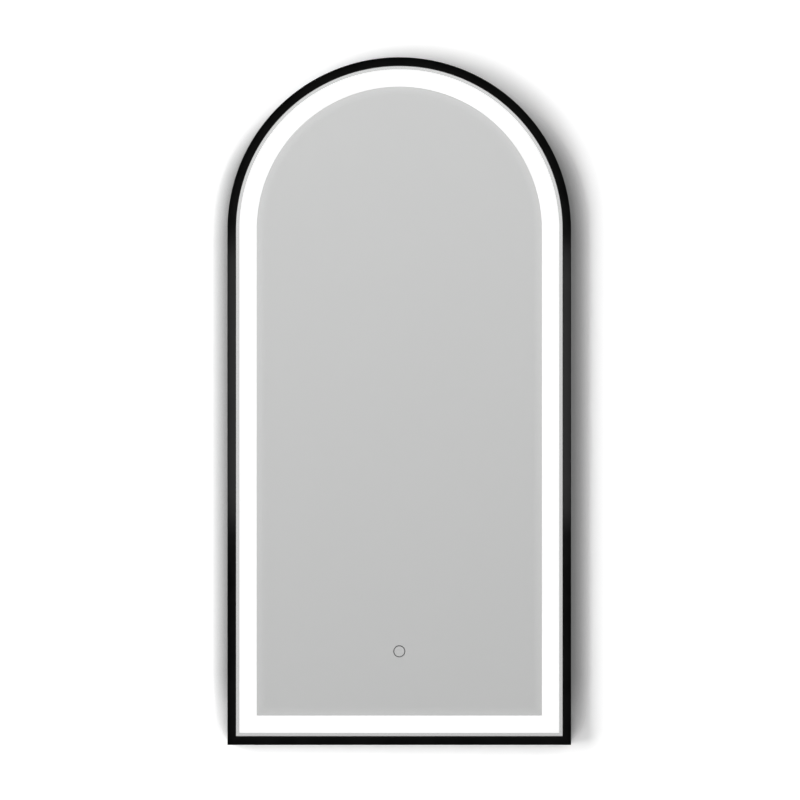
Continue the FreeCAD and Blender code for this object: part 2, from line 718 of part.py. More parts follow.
diffuser = new_body("light_diffuser")
pad(diffuser, Outline(diffuser, diffuser_back).arch(diffuser_outer).arch(diffuser_inner),
    mm.diffuser_thickness)

tape = new_body("diffuser_tape")
tape_outline = Outline(tape, tape_back).arch(diffuser_outer)
tape_outline.arch(mm.margin_reach - mm.tape_setback)
tape_outline.arch(band_reach + mm.tape_setback).arch(diffuser_inner)
pad(tape, tape_outline, mm.tape_thickness)

strip = new_body("led_strip")
pad(strip, Outline(strip, channel_floor).arch(strip_middle - mm.strip_width / 2)
    .arch(strip_middle + mm.strip_width / 2), mm.strip_thickness)

chips = new_body("led_chips")


def chip_seed(across, up, upright):
    sides = (mm.chip_width, mm.chip_length) if upright else (mm.chip_length, mm.chip_width)
    return [pad(chips, Outline(chips, strip_front).rectangle(across, up, *sides), mm.chip_height)]


copies_round(chips, chip_seed, strip_middle, mm.chip_pitch)

connector = new_body("strip_connector")
connector_z = strip_middle - leg_length
pad(connector, Outline(connector, strip_front)
    .rectangle(connector_x, connector_z, mm.connector_width, mm.strip_width), mm.connector_height)

eyelet = new_body("channel_eyelet")
eyelet_bore = mm.light_lead / 2 + mm.lead_clearance
eyelet_flange = light_lead_hole + mm.eyelet_flange
eyelet_top = mm.channel_inner - leg_length
for low, thickness, radius in (
        (eyelet_top - mm.channel_sheet - mm.eyelet_flange, mm.eyelet_flange, eyelet_flange),
        (eyelet_top - mm.channel_sheet, mm.channel_sheet, light_lead_hole),
        (eyelet_top, mm.eyelet_flange, eyelet_flange)):
    pad(eyelet, Outline(eyelet, low, role="XY_Plane")
        .circle(connector_x, -light_lead_off, radius)
        .circle(connector_x, -light_lead_off, eyelet_bore), thickness)

# ---- Rear panel and its screws ----

hanger_rivet_z = mm.rail_height / 2 + mm.rail_lip + mm.rail_sheet + mm.hanger_base / 2


def hanger_rivet_places(side):
    return [(side * mm.hanger_spacing / 2 + part * mm.hanger_rivet_spacing / 2, hanger_rivet_z)
            for part in (-1, 1)]


def cover_screw_places():
    """Four places over the wiring box's corner bosses."""
    reach_x = mm.box_width / 2 - mm.box_boss_edge
    reach_z = mm.box_height / 2 - mm.box_boss_edge
    return [(side * reach_x, box_z + rise * reach_z) for side in (-1, 1) for rise in (-1, 1)]


ear_z = driver_z - (mm.driver_height - mm.ear_height) / 2
ear_screw_x = mm.driver_width / 2 + mm.ear_length / 2
stud_x = -mm.stud_side
stud_z = box_z - mm.stud_drop

panel = new_body("back_panel")
pad(panel, Outline(panel, panel_back).arch(panel_inset)
    .rectangle(as_size(0), box_z, mm.window_width, mm.window_height), mm.panel_thickness)
holes = Outline(panel, panel_front)
holes.circles(places_round(*panel_screw_line), panel_screw_hole)
holes.circles(places_round(*rivet_line), rivet_hole)
for side in (-1, 1):
    holes.circles(corner_screw_places(side), small_screw_hole)
    holes.circles(hanger_rivet_places(side), rivet_hole)
    holes.circle(side * ear_screw_x, ear_z, mm.panel_screw_radius)
holes.circles(cover_screw_places(), small_screw_hole)
holes.circle(stud_x, stud_z, mm.stud_radius)
pocket(panel, holes, mm.panel_thickness)

panel_screws = new_body("back_panel_screws")


def panel_screw_seed(across, up, upright):
    section = screw_profile(panel_back, mm.panel_screw_head, mm.panel_screw_dome,
                            mm.panel_screw_radius, mm.panel_screw_length)
    return [turned(panel_screws, across, up, section)]


copies_round(panel_screws, panel_screw_seed, *panel_screw_line)

# ---- Hanging: a Z rail on the wall, two hooks riveted to the panel, two rubber bumpers ----

lip_top = mm.rail_height / 2 + mm.rail_lip
lip_rear = mm.rail_depth - mm.rail_sheet
hook_front = lip_rear - mm.hook_clearance


def folded(body, middle, width, section, inside, outside):
    """A folded strip of sheet along X; section lists (distance off the wall, height).

    inside and outside list which corners of the section are the folds' inner and outer ones.
    """
    outline = Outline(body, middle - width / 2, role="YZ_Plane")
    outline.polygon([(-as_size(off), height) for off, height in section])
    pad(body, outline, width)
    doc.recompute()
    for corners, radius in ((inside, mm.fold_radius), (outside, mm.fold_radius + mm.rail_sheet)):
        places = [(-as_size(section[i][0]).value, as_size(section[i][1]).value) for i in corners]
        names = ["Edge%d" % index for index, edge in enumerate(body.Tip.Shape.Edges, start=1)
                 if any(all(math.hypot(end.Y - place[0], end.Z - place[1]) < 1e-4
                            for end in edge.Vertexes) for place in places)]
        strip = body.Tip
        fillet = body.newObject("PartDesign::Fillet", body.Name + "_folds")
        fillet.Base = (strip, names)
        bind(fillet, "Radius", radius)
        body.Tip = fillet
        doc.recompute()


rail = new_body("wall_rail")
rail_top = mm.rail_height / 2
folded(rail, as_size(0), mm.rail_length, [
    (0, -rail_top), (mm.rail_sheet, -rail_top), (mm.rail_sheet, rail_top - mm.rail_sheet),
    (mm.rail_depth, rail_top - mm.rail_sheet), (mm.rail_depth, lip_top), (lip_rear, lip_top),
    (lip_rear, rail_top), (0, rail_top)], inside=(2, 6), outside=(3, 7))
wall_screw_places = [(side * mm.wall_screw_spacing / 2, 0) for side in (-1, 1)]
pocket(rail, Outline(rail, mm.rail_sheet).circles(wall_screw_places, mm.wall_hole), mm.rail_sheet)

base_rear = panel_back - mm.rail_sheet
for label, side in (("hanger_right", 1), ("hanger_left", -1)):
    hanger = new_body(label)
    folded(hanger, side * mm.hanger_spacing / 2, mm.hanger_width, [
        (hook_front - mm.rail_sheet, lip_top - mm.hook_drop), (hook_front, lip_top - mm.hook_drop),
        (hook_front, lip_top), (panel_back, lip_top),
        (panel_back, lip_top + mm.rail_sheet + mm.hanger_base),
        (base_rear, lip_top + mm.rail_sheet + mm.hanger_base),
        (base_rear, lip_top + mm.rail_sheet), (hook_front - mm.rail_sheet, lip_top + mm.rail_sheet)],
        inside=(2, 6), outside=(3, 7))
    pocket(hanger, Outline(hanger, panel_back).circles(hanger_rivet_places(side), rivet_hole),
           mm.rail_sheet)

hanger_rivets = new_body("hanger_rivets")
side_copy(hanger_rivets, [turned(hanger_rivets, *place, rivet_profile(base_rear, panel_front))
                          for place in hanger_rivet_places(1)])

bumpers = new_body("wall_bumpers")
narrow = mm.bumper_radius - mm.bumper_edge
side_copy(bumpers, [turned(bumpers, mm.bumper_spacing / 2, mm.bumper_height - leg_length, [
    (0, 0), (narrow, 0), (mm.bumper_radius, mm.bumper_edge), (mm.bumper_radius, panel_back),
    (0, panel_back)])])

# ---- Wiring box: open to the rear at the panel's window, closed by a screwed cover ----

lead_off = {name: panel_front + mm.lead_lift + size / 2 for name, size in (
    ("mains", mm.mains_lead), ("sensor", mm.sensor_lead), ("demister", mm.demister_lead),
    ("earth", mm.earth_lead))}
box_floor = panel_front + mm.box_depth - mm.box_wall
block_x = -mm.block_middle
demister_exit_z = box_z + mm.grommet_drop
earth_exit_z = box_z - mm.pole_spacing


def side_hole(body, face, depth, up, off, diameter):
    """A lead's hole through a wall that faces along X, cut back from its +X face."""
    outline = Outline(body, face, role="YZ_Plane")
    pocket(body, outline.circle(-off, up, diameter / 2 + mm.lead_clearance), depth)


box = new_body("wiring_box")
box_size = mm.box_width, mm.box_height
hollow = mm.box_width - 2 * mm.box_wall, mm.box_height - 2 * mm.box_wall
pad(box, Outline(box, panel_front).rectangle(as_size(0), box_z, *box_size)
    .rectangle(as_size(0), box_z, *hollow), box_floor - panel_front)
pad(box, Outline(box, box_floor).rectangle(as_size(0), box_z, *box_size), mm.box_wall)
pad(box, Outline(box, panel_front).circles(cover_screw_places(), mm.box_boss),
    box_floor - panel_front)
pocket(box, Outline(box, box_floor).circles(cover_screw_places(), mm.small_screw_radius),
       box_floor - panel_front)
side_hole(box, mm.box_width / 2, mm.box_wall, demister_exit_z, lead_off["demister"],
          mm.demister_lead)
side_hole(box, mm.box_wall - mm.box_width / 2, mm.box_wall, box_z, lead_off["mains"],
          mm.mains_lead)
side_hole(box, mm.box_wall - mm.box_width / 2, mm.box_wall, earth_exit_z, lead_off["earth"],
          mm.earth_lead)

block_back = box_floor - mm.block_depth


def pole_places():
    return [(block_x + part * mm.pole_spacing, box_z + row * mm.pole_rows / 2)
            for part in (-1, 0, 1) for row in (-1, 1)]


block = new_body("terminal_block")
pad(block, Outline(block, block_back)
    .rectangle(block_x, box_z, mm.block_width, mm.block_height), mm.block_depth)
pocket(block, Outline(block, block_back + mm.pole_well_depth).circles(pole_places(), mm.pole_well),
       mm.pole_well_depth)

pole_screws = new_body("terminal_screws")
pad(pole_screws, Outline(pole_screws, block_back + mm.pole_well_depth - mm.pole_screw_height)
    .circles(pole_places(), mm.pole_screw), mm.pole_screw_height)

grommet_z = box_z - mm.grommet_drop
cover_back = panel_back - mm.cover_thickness
cover = new_body("wiring_cover")
plate = Outline(cover, cover_back).rounded_rectangle(
    as_size(0), box_z, mm.cover_width, mm.cover_height, mm.cover_round)
plate.circle(mm.grommet_place, grommet_z, mm.grommet_neck)
plate.circles(cover_screw_places(), small_screw_hole)
pad(cover, plate, mm.cover_thickness)

cover_screws = new_body("wiring_cover_screws")
section = screw_profile(cover_back, mm.small_screw_head, mm.small_screw_dome,
                        mm.small_screw_radius, mm.cover_screw_length)
side_copy(cover_screws, [turned(cover_screws, *place, section)
                         for place in cover_screw_places()[2:]])

grommet = new_body("cable_grommet")
rear, front = cover_back - mm.grommet_rear, panel_back + mm.grommet_front
turned(grommet, mm.grommet_place, grommet_z, [
    (mm.grommet_bore, rear), (0.85 * mm.grommet_flange, rear),
    (mm.grommet_flange, rear + mm.grommet_rear / 2), (mm.grommet_flange, cover_back),
    (mm.grommet_neck, cover_back), (mm.grommet_neck, panel_back),
    (mm.grommet_flange, panel_back), (mm.grommet_flange, front), (mm.grommet_bore, front)])

# ---- Driver: a plastic case on the panel with its board, transformer and capacitors ----

case_floor = panel_front + mm.driver_wall
case_rim = panel_front + mm.driver_depth
board_back = case_floor + mm.board_lift
board_front = board_back + mm.board_thickness


def post_places():
    reach_x = mm.driver_width / 2 - mm.driver_post_edge
    reach_z = mm.driver_height / 2 - mm.driver_post_edge
    return [(side * reach_x, driver_z + rise * reach_z) for side in (-1, 1) for rise in (-1, 1)]


case = new_body("driver_case")
case_size = mm.driver_width, mm.driver_height
hollow = mm.driver_width - 2 * mm.driver_wall, mm.driver_height - 2 * mm.driver_wall
pad(case, Outline(case, panel_front).rectangle(as_size(0), driver_z, *case_size), mm.driver_wall)
pad(case, Outline(case, case_floor).rectangle(as_size(0), driver_z, *case_size)
    .rectangle(as_size(0), driver_z, *hollow), case_rim - case_floor)
for side in (-1, 1):
    pad(case, Outline(case, panel_front)
        .rectangle(side * ear_screw_x, ear_z, mm.ear_length, mm.ear_height)
        .circle(side * ear_screw_x, ear_z, panel_screw_hole), mm.driver_wall)
pad(case, Outline(case, case_floor).circles(post_places(), mm.driver_post), case_rim - case_floor)
foot_x = mm.board_width / 2 - mm.board_foot_edge
foot_z = mm.board_height / 2 - mm.board_foot_edge
board_feet = [(side * foot_x, driver_z + rise * foot_z) for side in (-1, 1) for rise in (-1, 1)]
pad(case, Outline(case, case_floor).circles(board_feet, mm.board_foot), mm.board_lift)
pocket(case, Outline(case, case_rim).circles(post_places(), mm.small_screw_radius),
       case_rim - case_floor)
side_hole(case, mm.driver_wall - mm.driver_width / 2, mm.driver_wall, driver_z,
          lead_off["mains"], mm.mains_lead)
side_hole(case, mm.driver_width / 2, mm.driver_wall, driver_z, lead_off["sensor"],
          mm.sensor_lead)

lid = new_body("driver_lid")
pad(lid, Outline(lid, case_rim).rectangle(as_size(0), driver_z, *case_size)
    .circles(post_places(), small_screw_hole), mm.driver_lid)

lid_screws = new_body("driver_lid_screws")
lid_front = case_rim + mm.driver_lid


def front_screw(body, place, face, head, dome, shank, length):
    """A domed screw whose head sits in front of a face; its tip points to the wall."""
    section = [(0, face + dome), (0.6 * head, face + dome), (head, face + 0.4 * dome),
               (head, face), (shank, face), (shank, face - length), (0, face - length)]
    return turned(body, *place, section)


side_copy(lid_screws, [front_screw(lid_screws, place, lid_front, mm.small_screw_head,
                                   mm.small_screw_dome, mm.small_screw_radius,
                                   mm.lid_screw_length)
                       for place in post_places()[2:]])

ear_screws = new_body("driver_screws")
side_copy(ear_screws, [front_screw(ear_screws, (ear_screw_x, ear_z), case_floor,
                                   mm.panel_screw_head, mm.panel_screw_dome,
                                   mm.panel_screw_radius, mm.driver_wall + mm.panel_thickness)])

board = new_body("driver_board")
pad(board, Outline(board, board_back)
    .rectangle(as_size(0), driver_z, mm.board_width, mm.board_height), mm.board_thickness)

coil = new_body("driver_transformer")
pad(coil, Outline(coil, board_front)
    .rectangle(as_size(0), driver_z, mm.coil_core, mm.coil_height), mm.coil_depth)
for part in (-1, 1):
    pad(coil, Outline(coil, board_front).rectangle(
        part * (mm.coil_width + mm.coil_core) / 4, driver_z,
        (mm.coil_width - mm.coil_core) / 2, mm.coil_height - mm.coil_core), mm.coil_depth)

cans = new_body("driver_capacitors")
can_x = mm.coil_width / 2 + mm.can_spacing
can_places = [(across, driver_z) for across in (-can_x, can_x, can_x + mm.can_spacing)]
pad(cans, Outline(cans, board_front).circles(can_places, mm.can_radius), mm.can_length)

# ---- Touch switch: bonded behind the ring in the silver ----

touch_front = silver_back - mm.touch_pad
touch_back = touch_front - mm.touch_depth
touch_board_back = touch_front - mm.board_thickness
touch_lead_off = touch_back + mm.touch_depth / 2

housing = new_body("touch_housing")
touch_size = mm.touch_width, mm.touch_height
hollow = mm.touch_width - 2 * mm.touch_wall, mm.touch_height - 2 * mm.touch_wall
pad(housing, Outline(housing, touch_back).rectangle(as_size(0), touch_z, *touch_size),
    mm.touch_wall)
pad(housing, Outline(housing, touch_back + mm.touch_wall)
    .rectangle(as_size(0), touch_z, *touch_size).rectangle(as_size(0), touch_z, *hollow),
    mm.touch_depth - mm.touch_wall)
side_hole(housing, mm.touch_width / 2, mm.touch_wall, touch_z, touch_lead_off, mm.sensor_lead)
side_hole(housing, mm.touch_wall - mm.touch_width / 2, mm.touch_wall, touch_z, touch_lead_off,
          mm.light_lead)

touch_board = new_body("touch_board")
pad(touch_board, Outline(touch_board, touch_board_back)
    .rectangle(as_size(0), touch_z, *hollow), mm.board_thickness)

electrode = new_body("touch_electrode")
pad(electrode, Outline(electrode, touch_front).circle(0, touch_z, mm.electrode_radius),
    mm.touch_pad)

touch_pad = new_body("touch_adhesive")
pad(touch_pad, Outline(touch_pad, touch_front).rectangle(as_size(0), touch_z, *touch_size)
    .circle(0, touch_z, mm.electrode_radius + mm.electrode_gap), mm.touch_pad)

# ---- Demister: a heating film on the back of the silver, with its connector ----

film_back = silver_back - mm.demister_thickness
pad_block_z = demister_z - mm.demister_height / 2 + mm.pad_block_edge
demister = new_body("demister_pad")
pad(demister, Outline(demister, film_back)
    .rectangle(as_size(0), demister_z, mm.demister_width, mm.demister_height),
    mm.demister_thickness)

pad_block = new_body("demister_connector")
pad(pad_block, Outline(pad_block, film_back - mm.pad_block_depth)
    .rectangle(mm.pad_block_place, pad_block_z, mm.pad_block_width, mm.pad_block_height),
    mm.pad_block_depth)

# ---- Earth: a stud clinched in the panel, a lug on the earth lead and a nut over it ----

stud = new_body("earth_stud")
turned(stud, stud_x, stud_z, [
    (0, panel_back - mm.stud_dome), (mm.stud_head, panel_back - mm.stud_dome),
    (mm.stud_head, panel_back), (mm.stud_radius, panel_back),
    (mm.stud_radius, panel_front + mm.stud_length), (0, panel_front + mm.stud_length)])

barrel_low = stud_z + mm.lug_radius + mm.lug_neck
lug_top = barrel_low + mm.lug_barrel
barrel_radius = mm.earth_lead / 2 + mm.lug_thickness
lug = new_body("earth_lug")
pad(lug, Outline(lug, panel_front).circle(stud_x, stud_z, mm.lug_radius), mm.lug_thickness)
pad(lug, Outline(lug, panel_front)
    .rectangle(stud_x, (stud_z + lug_top) / 2, mm.lug_radius, lug_top - stud_z), mm.lug_thickness)
pad(lug, Outline(lug, panel_front)
    .rectangle(stud_x, (barrel_low + lug_top) / 2, mm.lug_radius, mm.lug_barrel),
    lead_off["earth"] - panel_front)
pad(lug, Outline(lug, barrel_low, role="XY_Plane")
    .circle(stud_x, -lead_off["earth"], barrel_radius), mm.lug_barrel)
pocket(lug, Outline(lug, panel_front + mm.lug_thickness).circle(stud_x, stud_z, mm.stud_radius),
       mm.lug_thickness)

nut = new_body("earth_nut")
corners = [(stud_x + mm.nut_radius * math.cos(math.radians(60 * i)),
            stud_z + mm.nut_radius * math.sin(math.radians(60 * i))) for i in range(6)]
pad(nut, Outline(nut, panel_front + mm.lug_thickness).polygon(corners)
    .circle(stud_x, stud_z, mm.stud_radius), mm.nut_height)

# ---- Leads: each one whole, straight runs joined by tangent arcs ----


def rounded_path(points):
    """A wire through straight runs, its corners rounded by 0.45 of the shorter run beside them."""
    edges = []
    radii = []
    start = points[0]
    for before, corner, after in zip(points, points[1:], points[2:]):
        into, out = (corner - before), (after - corner)
        set_back = 0.45 * min(into.Length, out.Length)
        into.normalize()
        out.normalize()
        half_turn = into.getAngle(out) / 2
        radius = set_back / math.tan(half_turn)
        first, last = corner - into * set_back, corner + out * set_back
        inward = (out - into).normalize()
        middle = corner + inward * (radius / math.cos(half_turn) - radius)
        edges.append(Part.LineSegment(start, first).toShape())
        edges.append(Part.Arc(first, middle, last).toShape())
        radii.append(radius)
        start = last
    edges.append(Part.LineSegment(start, points[-1]).toShape())
    return Part.Wire(edges), radii


def new_lead(label, diameter, places):
    """A round lead through places given as (across, distance off the wall, up)."""
    points = [Vector(as_size(x).value, -as_size(off).value, as_size(z).value)
              for x, off, z in places]
    path, radii = rounded_path(points)
    section = Part.Wire(Part.Circle(points[0], points[1] - points[0], diameter.value / 2).toShape())
    lead = doc.addObject("Part::Feature", label)
    lead.Label = label
    lead.Shape = path.makePipeShell([section], True, False)
    expected = math.pi * diameter.value ** 2 / 4 * path.Length
    print("%s: length %.1f, volume %.4f of section times length, radii %s" % (
        label, path.Length, lead.Shape.Volume / expected,
        ", ".join("%.1f" % radius for radius in radii)))


box_edge = mm.box_width / 2
case_edge = mm.driver_width / 2
touch_edge = mm.touch_width / 2
mains_turn = -(case_edge + mm.lead_swing)
mains_off = lead_off["mains"]
new_lead("mains_lead", mm.mains_lead, [
    (block_x - mm.block_width / 2, mains_off, box_z), (mains_turn, mains_off, box_z),
    (mains_turn, mains_off, driver_z), (mm.driver_wall - case_edge, mains_off, driver_z)])

sensor_off = lead_off["sensor"]
new_lead("sensor_lead", mm.sensor_lead, [
    (case_edge - mm.driver_wall, sensor_off, driver_z),
    (case_edge + mm.lead_swing, sensor_off, driver_z),
    (case_edge + mm.lead_swing, touch_lead_off, touch_z),
    (touch_edge - mm.touch_wall, touch_lead_off, touch_z)])

new_lead("light_lead", mm.light_lead, [
    (mm.touch_wall - touch_edge, touch_lead_off, touch_z), (connector_x, touch_lead_off, touch_z),
    (connector_x, light_lead_off, eyelet_top + mm.light_lead_rise),
    (connector_x, light_lead_off, connector_z + mm.strip_width / 2)])

demister_off = lead_off["demister"]
demister_end_off = film_back - mm.pad_block_depth / 2
new_lead("demister_lead", mm.demister_lead, [
    (block_x + mm.block_width / 2, demister_off, demister_exit_z),
    (mm.pad_block_place, demister_off, demister_exit_z),
    (mm.pad_block_place, demister_end_off, pad_block_z - mm.pad_block_height / 2 - mm.lead_swing),
    (mm.pad_block_place, demister_end_off, pad_block_z - mm.pad_block_height / 2)])

new_lead("earth_lead", mm.earth_lead, [
    (block_x - mm.block_width / 2, lead_off["earth"], earth_exit_z),
    (stud_x, lead_off["earth"], earth_exit_z), (stud_x, lead_off["earth"], lug_top)])

# ---- Clips that hold the leads to the panel ----

clips = new_body("cable_clips")
clip_z = (box_z + driver_z) / 2
clip_hold = mm.mains_lead / 2 + mm.lead_clearance
pad(clips, Outline(clips, panel_front).rectangle(
    mains_turn, clip_z, 2 * (clip_hold + mm.clip_wall), mm.clip_width),
    mains_off + clip_hold + mm.clip_wall - panel_front)
pocket(clips, Outline(clips, clip_z + mm.clip_width / 2, role="XY_Plane")
       .circle(mains_turn, -mains_off, clip_hold), mm.clip_width)
clip_hold = mm.sensor_lead / 2 + mm.lead_clearance
clip_x = case_edge + mm.ear_length + mm.clip_width
pad(clips, Outline(clips, panel_front).rectangle(
    clip_x, driver_z, mm.clip_width, 2 * (clip_hold + mm.clip_wall)),
    sensor_off + clip_hold + mm.clip_wall - panel_front)
pocket(clips, Outline(clips, clip_x + mm.clip_width / 2, role="YZ_Plane")
       .circle(-sensor_off, driver_z, clip_hold), mm.clip_width)

# ---- Checks, then one file for each piece ----

doc.recompute()
failed = [thing.Label for thing in doc.Objects if {"Invalid", "Error"} & set(thing.State)]
loose = [thing.Label for thing in doc.Objects
         if thing.TypeId == "Sketcher::SketchObject" and not thing.FullyConstrained]
pieces = [thing for thing in doc.Objects if thing.TypeId in ("PartDesign::Body", "Part::Feature")]
broken = [piece.Label for piece in pieces if piece.Shape.isNull() or not piece.Shape.isValid()]
if failed or loose or broken:
    raise RuntimeError("failed %s, loose sketches %s, broken shapes %s" % (failed, loose, broken))
os.makedirs("parts", exist_ok=True)
for piece in pieces:
    piece.Shape.exportStep("parts/%s.step" % piece.Label)
    print("%-22s %3d solids, %9.1f mm3" % (piece.Label, len(piece.Shape.Solids), piece.Shape.Volume))
print("%d pieces" % len(pieces))
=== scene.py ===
"""Dresses an arched wall mirror with a lit band, a touch ring and a black frame.

Every length is in metres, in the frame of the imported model: X across, Z up and Y into the wall,
with the origin on the wall, midway between the rail's two screws. "Depth" below is a distance off
the wall, so a point's Y is minus its depth, and "inset" is a distance in from the frame's outer
outline.
"""

import logging
import math
from dataclasses import dataclass, field
from enum import Enum
from functools import lru_cache

import bmesh
import bpy
import numpy as np
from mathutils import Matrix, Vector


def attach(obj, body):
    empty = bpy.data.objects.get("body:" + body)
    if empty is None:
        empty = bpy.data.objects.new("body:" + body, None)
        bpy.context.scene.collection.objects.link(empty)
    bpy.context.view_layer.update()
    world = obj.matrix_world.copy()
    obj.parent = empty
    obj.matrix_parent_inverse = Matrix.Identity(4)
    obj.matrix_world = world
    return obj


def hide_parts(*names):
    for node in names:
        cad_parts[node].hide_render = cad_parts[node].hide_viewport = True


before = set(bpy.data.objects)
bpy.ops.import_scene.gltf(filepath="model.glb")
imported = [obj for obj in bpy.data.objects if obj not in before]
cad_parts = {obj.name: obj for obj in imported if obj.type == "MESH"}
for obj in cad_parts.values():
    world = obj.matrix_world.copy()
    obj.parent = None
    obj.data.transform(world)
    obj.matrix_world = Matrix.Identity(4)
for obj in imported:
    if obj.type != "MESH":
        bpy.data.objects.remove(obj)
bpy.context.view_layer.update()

LOG = logging.getLogger("mirror")
Array = np.ndarray
Colour = tuple[float, float, float]
Place = tuple[float, float, float]
Pair = tuple[float, float]

MM = 0.001
MERGE_WITHIN = 1e-7
SLIVER = 1e-8
CRISP_TURN = math.radians(32)
CLOUD = (0.3, 0.7)  # the part of its range in which cloudy noise mostly stays


class Body(Enum):
    """The body that the pieces made here ride on; the rail's own node is on a body already."""

    MIRROR = "mirror"


# ---- Surfaces ----


@dataclass
class Skin:
    """The vertices and faces of one surface, or of several side by side."""

    points: Array
    faces: list[tuple[int, ...]]

    @staticmethod
    def grid(points: Array, wrap_rows: bool = False, wrap_columns: bool = False,
             cap: bool = False) -> "Skin":
        """A sheet of quads over a grid of points.

        The face at row r and column c joins the points (r, c), (r, c + 1), (r + 1, c + 1) and
        (r + 1, c), with the row and column numbers taken round where the sheet is wrapped.

        Args:
            points: Places as rows by columns by 3.
            wrap_rows: Whether the last row joins the first.
            wrap_columns: Whether the last column joins the first.
            cap: Whether one face closes the first row and one the last.

        Returns:
            The sheet.
        """
        rows, columns = points.shape[:2]
        number = np.arange(rows * columns).reshape(rows, columns)
        lower = number if wrap_rows else number[:-1]
        upper = np.roll(number, -1, 0) if wrap_rows else number[1:]
        here, there = (lower, upper) if wrap_columns else (lower[:, :-1], upper[:, :-1])
        here_on = np.roll(lower, -1, 1) if wrap_columns else lower[:, 1:]
        there_on = np.roll(upper, -1, 1) if wrap_columns else upper[:, 1:]
        quads = np.stack((here, here_on, there_on, there), -1).reshape(-1, 4)
        faces = [tuple(quad) for quad in quads.tolist()]
        if cap:
            faces += [tuple(number[0].tolist()), tuple(number[-1, ::-1].tolist())]
        return Skin(points.reshape(-1, 3), faces)

    @staticmethod
    def joined(skins: list["Skin"]) -> "Skin":
        """Several surfaces as one, with each one's face numbers moved past those before it.

        Args:
            skins: The surfaces, in order.

        Returns:
            The one surface.
        """
        starts = np.cumsum([0] + [len(skin.points) for skin in skins[:-1]])
        faces = [tuple(number + int(start) for number in face)
                 for start, skin in zip(starts, skins) for face in skin.faces]
        return Skin(np.concatenate([skin.points for skin in skins]), faces)

    def copied(self, places: Array) -> "Skin":
        """The surface again at each place, its points moved by that place.

        Args:
            places: Places by 3.

        Returns:
            The copies as one surface.
        """
        points = (self.points[None] + places[:, None]).reshape(-1, 3)
        count = len(self.points)
        faces = [tuple(number + count * copy for number in face)
                 for copy in range(len(places)) for face in self.faces]
        return Skin(points, faces)

    def piece(self, name: str, finish: "Finish", body: Body, replaced: tuple[str, ...],
              slot: str, sharp: float = CRISP_TURN) -> bpy.types.Object:
        """Makes the surface a piece of the mirror.

        Doubled points at poles and seams are merged and the faces turned outwards.

        Args:
            name: The piece's name.
            finish: What it is made of.
            body: The body that it rides on.
            replaced: The CAD nodes that it stands for.
            slot: The record's material slot; it is not used.
            sharp: Edges that turn by more than this stay crisp.

        Returns:
            The object, at the origin.
        """
        mesh = bpy.data.meshes.new(name)
        mesh.from_pydata(self.points.tolist(), [], self.faces)
        work = bmesh.new()
        work.from_mesh(mesh)
        bmesh.ops.remove_doubles(work, verts=work.verts, dist=MERGE_WITHIN)
        bmesh.ops.dissolve_degenerate(work, edges=work.edges, dist=SLIVER)
        bmesh.ops.recalc_face_normals(work, faces=work.faces)
        work.to_mesh(mesh)
        work.free()
        mesh.shade_smooth()
        mesh.set_sharp_from_angle(angle=sharp)
        thing = bpy.data.objects.new(name, mesh)
        bpy.context.scene.collection.objects.link(thing)
        thing.data.materials.append(finish.material())
        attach(thing, body.value)
        if replaced:
            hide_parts(*replaced)
        LOG.info("%s: %d points, %d faces", name, len(mesh.vertices), len(mesh.polygons))
        return thing


def rounded(corners: list[Pair], radii: list[float], steps: int = 5) -> Array:
    """A closed section with every corner turned on an arc.

    At a corner with unit directions a to the one before and b to the one after, half the angle
    between them is h. The arc of radius r touches the sides r / tan(h) from the corner, and its
    centre lies r / sin(h) along a + b.

    Args:
        corners: Corners in order, as pairs in millimetres.
        radii: Each corner's radius in millimetres.
        steps: Points on each arc.

    Returns:
        Points by 2, in metres.
    """
    at = np.array(corners) * MM
    radius = (np.array(radii) * MM)[:, None]
    before, after = np.roll(at, 1, 0) - at, np.roll(at, -1, 0) - at
    before /= np.linalg.norm(before, axis=1, keepdims=True)
    after /= np.linalg.norm(after, axis=1, keepdims=True)
    half = np.arccos(np.clip((before * after).sum(1, keepdims=True), -1, 1)) / 2
    inward = before + after
    inward /= np.linalg.norm(inward, axis=1, keepdims=True)
    centre = at + inward * radius / np.sin(half)
    first = at + before * radius / np.tan(half) - centre
    last = at + after * radius / np.tan(half) - centre
    start = np.arctan2(first[:, 1], first[:, 0])
    turn = np.arctan2(last[:, 1], last[:, 0]) - start
    turn = (turn + np.pi) % (2 * np.pi) - np.pi
    angle = start[:, None] + turn[:, None] * np.linspace(0, 1, steps)
    arc = np.stack((np.cos(angle), np.sin(angle)), -1) * radius[:, None]
    return (centre[:, None] + arc).reshape(-1, 2)


def spun(profile: list[Pair], turns: int, closed: bool = False) -> Skin:
    """A surface turned about a line along Y: x = r cos(a), z = r sin(a), y = minus the depth.

    Args:
        profile: Radius and depth pairs in millimetres, from axis to axis or all round.
        turns: Points round the axis.
        closed: Whether the profile's last point joins its first.

    Returns:
        The surface, with its axis on X = Z = 0.
    """
    radius, depth = (np.array(profile) * MM).T
    angle = np.arange(turns) * (2 * np.pi / turns)
    points = np.stack((radius[:, None] * np.cos(angle), np.tile(-depth[:, None], (1, turns)),
                       radius[:, None] * np.sin(angle)), -1)
    return Skin.grid(points, wrap_rows=closed, wrap_columns=True)


